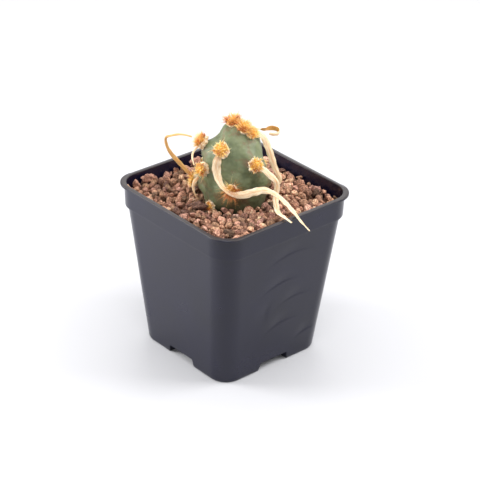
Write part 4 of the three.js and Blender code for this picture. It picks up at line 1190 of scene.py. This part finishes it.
def make_grains(material):
    """The grit's loose grains: broken pebbles of 2 to 5 mm, stretched, turned and settled."""
    draw = np.random.default_rng(GRAIN_SEED)
    centres, radii = settle_grains(draw, stem_edge())
    count = len(centres)
    ball, faces = icosphere(GRAIN_SPLITS)
    grains = broken_stones(draw, ball, count, GRAIN_FLATS)
    grains = grains * draw.uniform(*GRAIN_STRETCH, (count, 1, 3)) * radii[:, None, None]
    grains = np.einsum("nij,nvj->nvi", random_turns(draw, count), grains) + centres[:, None]
    points = inside_pot(grains).reshape(-1, 3)
    tints = np.column_stack([draw.beta(*GRAIN_TONES, count), draw.uniform(size=count),
                             np.zeros(count)])
    shifts = np.arange(count)[:, None, None] * len(ball)
    mesh = new_mesh("grit_grains", points, [(faces[None] + shifts).reshape(-1, 3)],
                    {"tint": np.repeat(tints, len(ball), axis=0)})
    new_piece(mesh, material, "grit", crease=48)


def make_larger_stones(material):
    """The larger stones that lie on the grit."""
    draw = np.random.default_rng(GRAIN_SEED + 1)
    ball, faces = icosphere(STONE_SPLITS)
    shapes = []
    for stone, (place, radii, turn, _) in zip(
            broken_stones(draw, ball, len(STONES), STONE_FLATS), STONES):
        lumpy = stone * (1 + relief(stone, STONE_LUMPS, STONE_LUMP_SEED))[:, None]
        shapes.append(((lumpy * radii) @ turned(math.radians(turn)).T + place, [faces]))
    points, groups = joined(shapes)
    tints = np.repeat([(tone, STONE_HUE, 0) for *_, tone in STONES], len(ball), axis=0)
    mesh = new_mesh("grit_larger_stones", points, groups, {"tint": tints})
    new_piece(mesh, material, "grit", crease=50)


def make_bed(material):
    """The grit below the loose grains: one bed that fills the pot, with a lumpy top painted dark
    as the shade in the gaps between the grains.
    """
    levels = np.array([FLOOR + NOTCH_HEIGHT + BED_CLEARANCE, SHOULDER_BOTTOM,
                       GRIT_LEVEL - BED_DROP])
    half = body_half(levels) - WALL - GAP
    corner = np.array([body_corner(levels[0]), BODY_CORNER, BAND_CORNER]) - WALL - GAP
    shares = np.linspace(*BED_SHARES, BED_RINGS)
    half = np.concatenate([half, half[-1] * shares])
    corner = np.concatenate([corner, corner[-1] * shares])
    heights = np.concatenate([levels, np.full(BED_RINGS, levels[-1])])
    points = rounded_squares(half, corner, heights, 0 * heights)
    top = points[len(levels):]
    top[..., 2] += relief(top, BED_LUMPS, BED_LUMP_SEED) - BED_SETTLED
    points, faces = closed_grid(points, (0, 0, levels[0]), (0, 0, levels[-1]))
    # The bed's dark tone is painted shade for the gaps between the loose grains
    tints = np.tile(BED_SHADED_TINT, (len(points), 1))
    new_piece(new_mesh("grit_bed", points, faces, {"tint": tints}), material, "grit")


def smooth_path(points, shares):
    """A centripetal Catmull-Rom curve through points, at shares of its length in spans from 0 to
    1: in each span a Hermite curve whose end slopes come from the neighbours' distances to the
    power of a half."""
    points = np.asarray(points, float)
    ends = [2 * points[0] - points[1]], [2 * points[-1] - points[-2]]
    knots = np.concatenate([ends[0], points, ends[1]])
    spans = len(points) - 1
    span = np.minimum((shares * spans).astype(int), spans - 1)
    t = (shares * spans - span)[:, None]
    p0, p1, p2, p3 = (knots[span + step] for step in range(4))
    d0, d1, d2 = (np.sqrt(np.linalg.norm(b - a, axis=1))[:, None]
                  for a, b in ((p0, p1), (p1, p2), (p2, p3)))
    slope1 = ((p1 - p0) / d0 - (p2 - p0) / (d0 + d1) + (p2 - p1) / d1) * d1
    slope2 = ((p2 - p1) / d1 - (p3 - p1) / (d1 + d2) + (p3 - p2) / d2) * d1
    square, cube = t * t, t * t * t
    return (p1 * (2 * cube - 3 * square + 1) + slope1 * (cube - 2 * square + t)
            + p2 * (3 * square - 2 * cube) + slope2 * (cube - square))


def make_spine(name, route, material):
    """A papery spine: a thin bowed strip carried along a smooth path. Across it, u from -1 to
    1 of its half width w, the middle surface lies at bow w (1 - u^2) plus a ruffle
    w u |u| sin(2 pi s / length), s being the way along it, and its thickness falls to thin
    edges as 1 - thinning u^2."""
    spans = len(route) - 1
    shares = np.linspace(0, 1, spans * SPINE_STATIONS + 1)
    path = smooth_path([place for place, _, _ in route], shares)
    stops = np.column_stack([[width for _, width, _ in route], unit([way for *_, way in route])])
    width, *face = (np.interp(shares * spans, np.arange(spans + 1), row) for row in stops.T)
    tangent = unit(np.gradient(path, axis=0))
    across = unit(np.cross(np.stack(face, axis=1), tangent))
    flat = unit(np.cross(tangent, across))
    steps = np.linalg.norm(np.diff(path, axis=0), axis=1)
    along = np.concatenate([[0], np.cumsum(steps)])[:, None]

    seed = sum(map(ord, name))
    phase = 2 * math.pi * (seed % 17) / 17
    u = np.cos(np.linspace(math.pi, 0, SPINE_SECTION + 1))
    thick = SPINE_THICK * (1 - SPINE_THINNING * u ** 2) / 2
    waver = SPINE_WAVER * np.sin(2 * math.pi * along / WAVER_LENGTH + phase)
    half = width[:, None] / 2 * (1 + waver)
    bow = SPINE_BOW * half * (1 - u ** 2)
    wave = np.sin(2 * math.pi * along / RUFFLE_LENGTH + phase)
    middle = bow + SPINE_RUFFLE * half * u * np.abs(u) * wave
    side = np.concatenate([half * u, half * u[::-1]], axis=1)
    lift = np.concatenate([middle + thick, (middle - thick)[:, ::-1]], axis=1)
    points = path[:, None] + across[:, None] * side[..., None] + flat[:, None] * lift[..., None]
    rows, columns = points.shape[:2]
    ends = np.array([np.arange(columns)[::-1], np.arange(columns) + (rows - 1) * columns])

    lie = np.stack([side + seed, along + 0 * side, side / half], axis=-1)
    # The back's number carries the spine's age, and for crown_curl painted shade
    face_age, back_age_and_shade = SPINE_AGES_AND_SHADE.get(name, SPINE_FRESH)
    age = np.where(np.arange(columns) < columns // 2, face_age, back_age_and_shade) + 0 * side
    root = np.exp(-(along / ROOT_LENGTH) ** 2) + 0 * side
    tint = np.stack([age, root, 0 * side], axis=-1)
    mesh = new_mesh(f"spine_{name}_paper", to_pot(points.reshape(-1, 3)),
                    [grid_faces(rows, columns)[:, ::-1], ends[:, ::-1]],
                    {"lie": lie.reshape(-1, 3), "tint": tint.reshape(-1, 3)})
    new_piece(mesh, material, f"spine_{name}", crease=60)


def areole_frame(areole):
    """An areole's place: the stem's point under it, and two directions across it and the outward
    one as the columns of a matrix."""
    direction = unit(np.array(areole.towards) - STEM_MIDDLE)
    foot = STEM_MIDDLE + direction * stem_radius(direction)
    outward = unit(areole.faces)
    first = unit(np.cross(outward, AREOLE_ASKEW))
    return foot, np.column_stack([first, np.cross(outward, first), outward])


def spikes(roots, ways, lengths, radii, bends):
    """Thin three-sided bristles, all at once, as points and one group of faces. Each runs from
    its root along its way and bends aside by its bend at the tip, as the square of how far
    along it a point is. It thins to a point there."""
    side = unit(np.cross(ways, BRISTLE_ASKEW))
    other = np.cross(ways, side)
    rings = []
    for share, girth in SPIKE_RINGS:
        middle = roots + ways * (lengths * share)[:, None] + bends * share ** 2
        for turn in np.linspace(0, 2 * math.pi, SPIKE_SIDES, endpoint=False):
            out = side * math.cos(turn) + other * math.sin(turn)
            rings.append(middle + (radii * girth)[:, None] * out)
    rings.append(roots + ways * lengths[:, None] + bends)
    shifts = SPIKE_POINTS * np.arange(len(roots))[:, None, None]
    faces = (np.array(SPIKE_FACES)[None] + shifts).reshape(-1, 3)
    return np.stack(rings, axis=1).reshape(-1, 3), [faces]


def pad_levels(areole):
    """The height of a pad's middle over the stem, and half its depth."""
    return (areole.height - PAD_SINK) / 2, (areole.height + PAD_SINK) / 2


def wool_pad(areole, seed):
    """A pad's cushion: its radius is rim sin(t)^fullness and its height cos(t)^roundness, t
    being the angle from the outward way, with a shallow dish in its top and matted lumps."""
    middle, half = pad_levels(areole)
    ball, faces = unit_ball(*PAD_GRID)
    level = np.hypot(ball[:, 0], ball[:, 1])
    spread = areole.rim * PAD_EDGE * level ** PAD_FULLNESS
    out = ball[:, :2] / np.where(level > 0, level, 1)[:, None]
    rise = half * np.sign(ball[:, 2]) * np.abs(ball[:, 2]) ** PAD_ROUNDNESS
    dish = DISH_DEPTH * np.exp(-(spread / (DISH_SPREAD * areole.rim)) ** 2) * (ball[:, 2] > 0)
    points = np.column_stack([out * spread[:, None], middle + rise - dish])
    matted = relief(points, PAD_LUMPS, seed)
    return points + unit(points - [0, 0, middle - PAD_HEART]) * matted[:, None], faces


def rim_hairs(areole, draw):
    """Short curly hairs that stand out all round a pad."""
    middle, half = pad_levels(areole)
    turns = draw.uniform(0, 2 * math.pi, FIBRES)
    climb = draw.uniform(*FIBRE_CLIMBS, FIBRES)
    level = np.column_stack([np.cos(turns), np.sin(turns)])
    out = np.column_stack([level * np.cos(climb)[:, None], np.sin(climb)])
    reach = areole.rim * FIBRE_REACH * np.cos(climb) ** 0.5
    roots = np.column_stack([level * reach[:, None], middle + half * FIBRE_LIFT * np.sin(climb)])
    ways = unit(out + FIBRE_TANGLE * draw.normal(size=(FIBRES, 3)))
    lengths = draw.uniform(*FIBRE_LENGTHS, FIBRES)
    bends = FIBRE_CURL * draw.normal(size=(FIBRES, 3))
    return spikes(roots, ways, lengths, np.full(FIBRES, FIBRE_RADIUS), bends)


def stray_hairs(areole, draw):
    """A few long thin hairs that stand out of a pad."""
    turns = draw.uniform(0, 2 * math.pi, STRAYS)
    rises = draw.uniform(*STRAY_RISES, STRAYS)
    ways = unit(np.column_stack([np.cos(turns), np.sin(turns), rises]))
    roots = ways * areole.rim * STRAY_REACH + [0, 0, pad_levels(areole)[0]]
    lengths = draw.uniform(*STRAY_LENGTHS, STRAYS)
    bends = STRAY_CURL * draw.normal(size=(STRAYS, 3))
    return spikes(roots, ways, lengths, np.full(STRAYS, STRAY_RADIUS), bends)


def make_wool(areole, seed, material):
    """The woolly pad of an areole, with its short hairs and its stray ones."""
    foot, turn = areole_frame(areole)
    draw = np.random.default_rng(seed)
    points, faces = joined([wool_pad(areole, seed), rim_hairs(areole, draw),
                            stray_hairs(areole, draw)])
    mesh = new_mesh(f"wool_{areole.name}_felt", to_pot(points @ turn.T + foot), faces)
    new_piece(mesh, material, f"wool_{areole.name}", crease=70)


def tuft_spiral(count, radius, high, draw):
    """Roots in a golden-angle spiral over a tuft's dome, and how far out each one is, from 0 to
    1, and its turn."""
    index = np.arange(count)
    share = np.sqrt((index + 0.5) / count)
    turns = index * GOLDEN_ANGLE + draw.normal(0, SPIRAL_SWAY, count)
    reach = SPIRAL_REACH * radius * share
    roots = np.column_stack([reach * np.cos(turns), reach * np.sin(turns),
                             high - SPIRAL_SINK + SPIRAL_RISE * np.sqrt(1 - share ** 2)])
    return roots, share, turns


def tuft_dome(areole, radius, seed):
    """The low lumpy dome that a tuft's bristles stand on."""
    ball, faces = unit_ball(*DOME_GRID)
    points = ball * [radius, radius, DOME_HEIGHT] + [0, 0, areole.height - DOME_SINK]
    return points + ball * relief(points, DOME_LUMPS, seed)[:, None], faces


def tuft_clumps(areole, radius, droop, draw):
    """The clumps of a tuft, in a spiral over its dome: where each stands, its tip and its tone.
    They lean outwards, the more the further out they are, and droop together."""
    count = round(CLUMPS * max(1, areole.length))
    places, share, turns = tuft_spiral(count, radius, areole.height, draw)
    tilt = np.radians(areole.lean) * share + draw.normal(0, CLUMP_SWAY, count)
    aims = np.column_stack([np.sin(tilt) * np.cos(turns), np.sin(tilt) * np.sin(turns),
                            np.cos(tilt)])
    aims = unit(aims + droop * np.sin(np.abs(tilt))[:, None])
    plain, grown = CLUMP_LENGTH
    reach = areole.longer * (plain + grown * areole.length) * draw.uniform(*CLUMP_SHARES, count)
    return places, places + aims * reach[:, None], draw.uniform(*CLUMP_TONES, count)


def tuft_bristles(areole, radius, side, clumps, seed, draw):
    """The bristles of a tuft and their growth: how far along its bristle each point is, how old
    the bristle is, and a number of its own. Those of a clump draw together at its tip, less so
    and thinner where they are long. They are older towards the side given, and in patches."""
    places, tips, tones = clumps
    roots, _, _ = tuft_spiral(BRISTLES, radius, areole.height, draw)
    clump = np.argmin(((roots[:, None] - places[None]) ** 2).sum(axis=-1), axis=1)
    towards_tip = tips[clump] - roots
    plain, grown = BRISTLE_STRAY
    stray = (plain + grown * areole.length) * draw.normal(size=roots.shape)
    ways = unit(unit(towards_tip) + stray)
    lengths = np.linalg.norm(towards_tip, axis=1) * draw.uniform(*BRISTLE_SHARES, BRISTLES)
    plain, shorter = LONG_EXTRA
    long_ones = draw.uniform(size=BRISTLES) < LONG_SHARE
    lengths = lengths * np.where(long_ones, plain + shorter / areole.length, 1)
    bends = BRISTLE_CURL * draw.normal(size=ways.shape) * lengths[:, None]
    age = areole.rust + SIDE_AGE * (roots @ side) / radius + tones[clump]
    age = age + relief(roots, AGE_PATCHES, seed) + draw.normal(0, AGE_SWAY, BRISTLES)
    # The finish doesn't read the bristle's own number, but the girths are drawn after it
    own = np.column_stack([np.clip(age, 0, 1), draw.uniform(size=BRISTLES)])
    thinner = math.sqrt(max(areole.length, 1))
    radii = BRISTLE_RADIUS / thinner * draw.uniform(*BRISTLE_GIRTHS, BRISTLES)
    shares = np.append(np.repeat([share for share, _ in SPIKE_RINGS], SPIKE_SIDES), 1)
    growth = np.column_stack([np.tile(shares, BRISTLES), np.repeat(own, SPIKE_POINTS, axis=0)])
    return spikes(roots, ways, lengths, radii, bends), growth


def make_glochids(areole, seed, material):
    """The tuft of glochids of an areole: a low dome with clumps of bristles over it."""
    foot, turn = areole_frame(areole)
    draw = np.random.default_rng(seed)
    radius = areole.rim * TUFT_SHARE * areole.wider
    side = unit(np.array(areole.older, float) @ turn)
    dome = tuft_dome(areole, radius, seed)
    clumps = tuft_clumps(areole, radius, np.array(areole.droop, float) @ turn, draw)
    bristles, growth = tuft_bristles(areole, radius, side, clumps, seed, draw)

    age = np.clip(DOME_AGE + SIDE_AGE * (dome[0] @ side) / radius, 0, 1)
    dome_growth = np.column_stack([np.full(len(age), DOME_TONE), age, np.zeros(len(age))])
    points, faces = joined([dome, bristles])
    mesh = new_mesh(f"glochids_{areole.name}_tuft", to_pot(points @ turn.T + foot), faces,
                    {"growth": np.concatenate([dome_growth, growth])})
    new_piece(mesh, material, f"glochids_{areole.name}", crease=75)


def camera_axes():
    """The camera's right, up and backward directions, in the pot's frame."""
    back = np.array([math.sin(CAMERA_AZIMUTH) * math.cos(CAMERA_ELEVATION),
                     -math.cos(CAMERA_AZIMUTH) * math.cos(CAMERA_ELEVATION),
                     math.sin(CAMERA_ELEVATION)])
    level = np.array([math.cos(CAMERA_AZIMUTH), math.sin(CAMERA_AZIMUTH), 0])
    upright = np.cross(back, level)
    right = math.cos(CAMERA_ROLL) * level + math.sin(CAMERA_ROLL) * upright
    up = math.cos(CAMERA_ROLL) * upright - math.sin(CAMERA_ROLL) * level
    return right, up, back


def placed(thing, place, axes):
    """Puts a camera or a light in the scene at a place in millimetres, turned to the three
    axes, the last of which points away from what it faces."""
    item = bpy.data.objects.new(thing.name, thing)
    turn = Matrix(np.column_stack(axes).tolist()).to_4x4()
    item.matrix_world = Matrix.Translation(np.array(place) * MM) @ turn
    bpy.context.scene.collection.objects.link(item)
    return item


def make_camera():
    """The camera, where the photograph was taken from."""
    right, up, back = camera_axes()
    place = (np.array([0, 0, CAMERA_TARGET_HEIGHT]) + back * CAMERA_DISTANCE
             + right * CAMERA_SHIFT[0] + up * CAMERA_SHIFT[1])
    lens = bpy.data.cameras.new("camera")
    lens.sensor_width = SENSOR_WIDTH
    lens.lens = CAMERA_FOCAL / CAMERA_FRAME * SENSOR_WIDTH
    bpy.context.scene.camera = placed(lens, place, (right, up, back))


def make_light(name, place, side, watts):
    """A square soft light that faces the plant in its pot."""
    light = bpy.data.lights.new(name, "AREA")
    light.shape = "SQUARE"
    light.size = side * MM
    light.energy = watts
    back = unit(np.array(place) - LIGHT_TARGET)
    right = unit(np.cross([0, 0, 1], back))
    placed(light, place, (right, np.cross(back, right), back))


def make_studio():
    """A pale table, a white surround and soft lights round the pot and above it."""
    corners = [(-TABLE_REACH, -TABLE_REACH, 0), (TABLE_REACH, -TABLE_REACH, 0),
               (TABLE_REACH, TABLE_REACH, 0), (-TABLE_REACH, TABLE_REACH, 0)]
    board = new_mesh("table", corners, [np.array([(0, 1, 2, 3)])])
    board.materials.append(pale_board())
    table = bpy.data.objects.new("table", board)
    bpy.context.scene.collection.objects.link(table)
    world = bpy.data.worlds.new("surround")
    world.use_nodes = True
    background = world.node_tree.nodes["Background"]
    feed(world.node_tree, background, {"Color": "#ffffff", "Strength": SURROUND_STRENGTH})
    bpy.context.scene.world = world
    for name, (place, side, watts) in SOFTBOXES.items():
        make_light(name, place, side, watts)
    bpy.context.scene.view_settings.view_transform = "Standard"


make_camera()
make_studio()
make_pot(black_polypropylene())
grit = volcanic_grit()
make_bed(grit)
make_grains(grit)
make_larger_stones(grit)
make_stem(cactus_skin())
wool = areole_wool()
bristle = glochid_bristle()
paper = papery_sheath()
for number, areole in enumerate(AREOLES):
    make_wool(areole, WOOL_SEED + number, wool)
    make_glochids(areole, TUFT_SEED + number, bristle)
for name, route in SPINES.items():
    make_spine(name, route, paper)
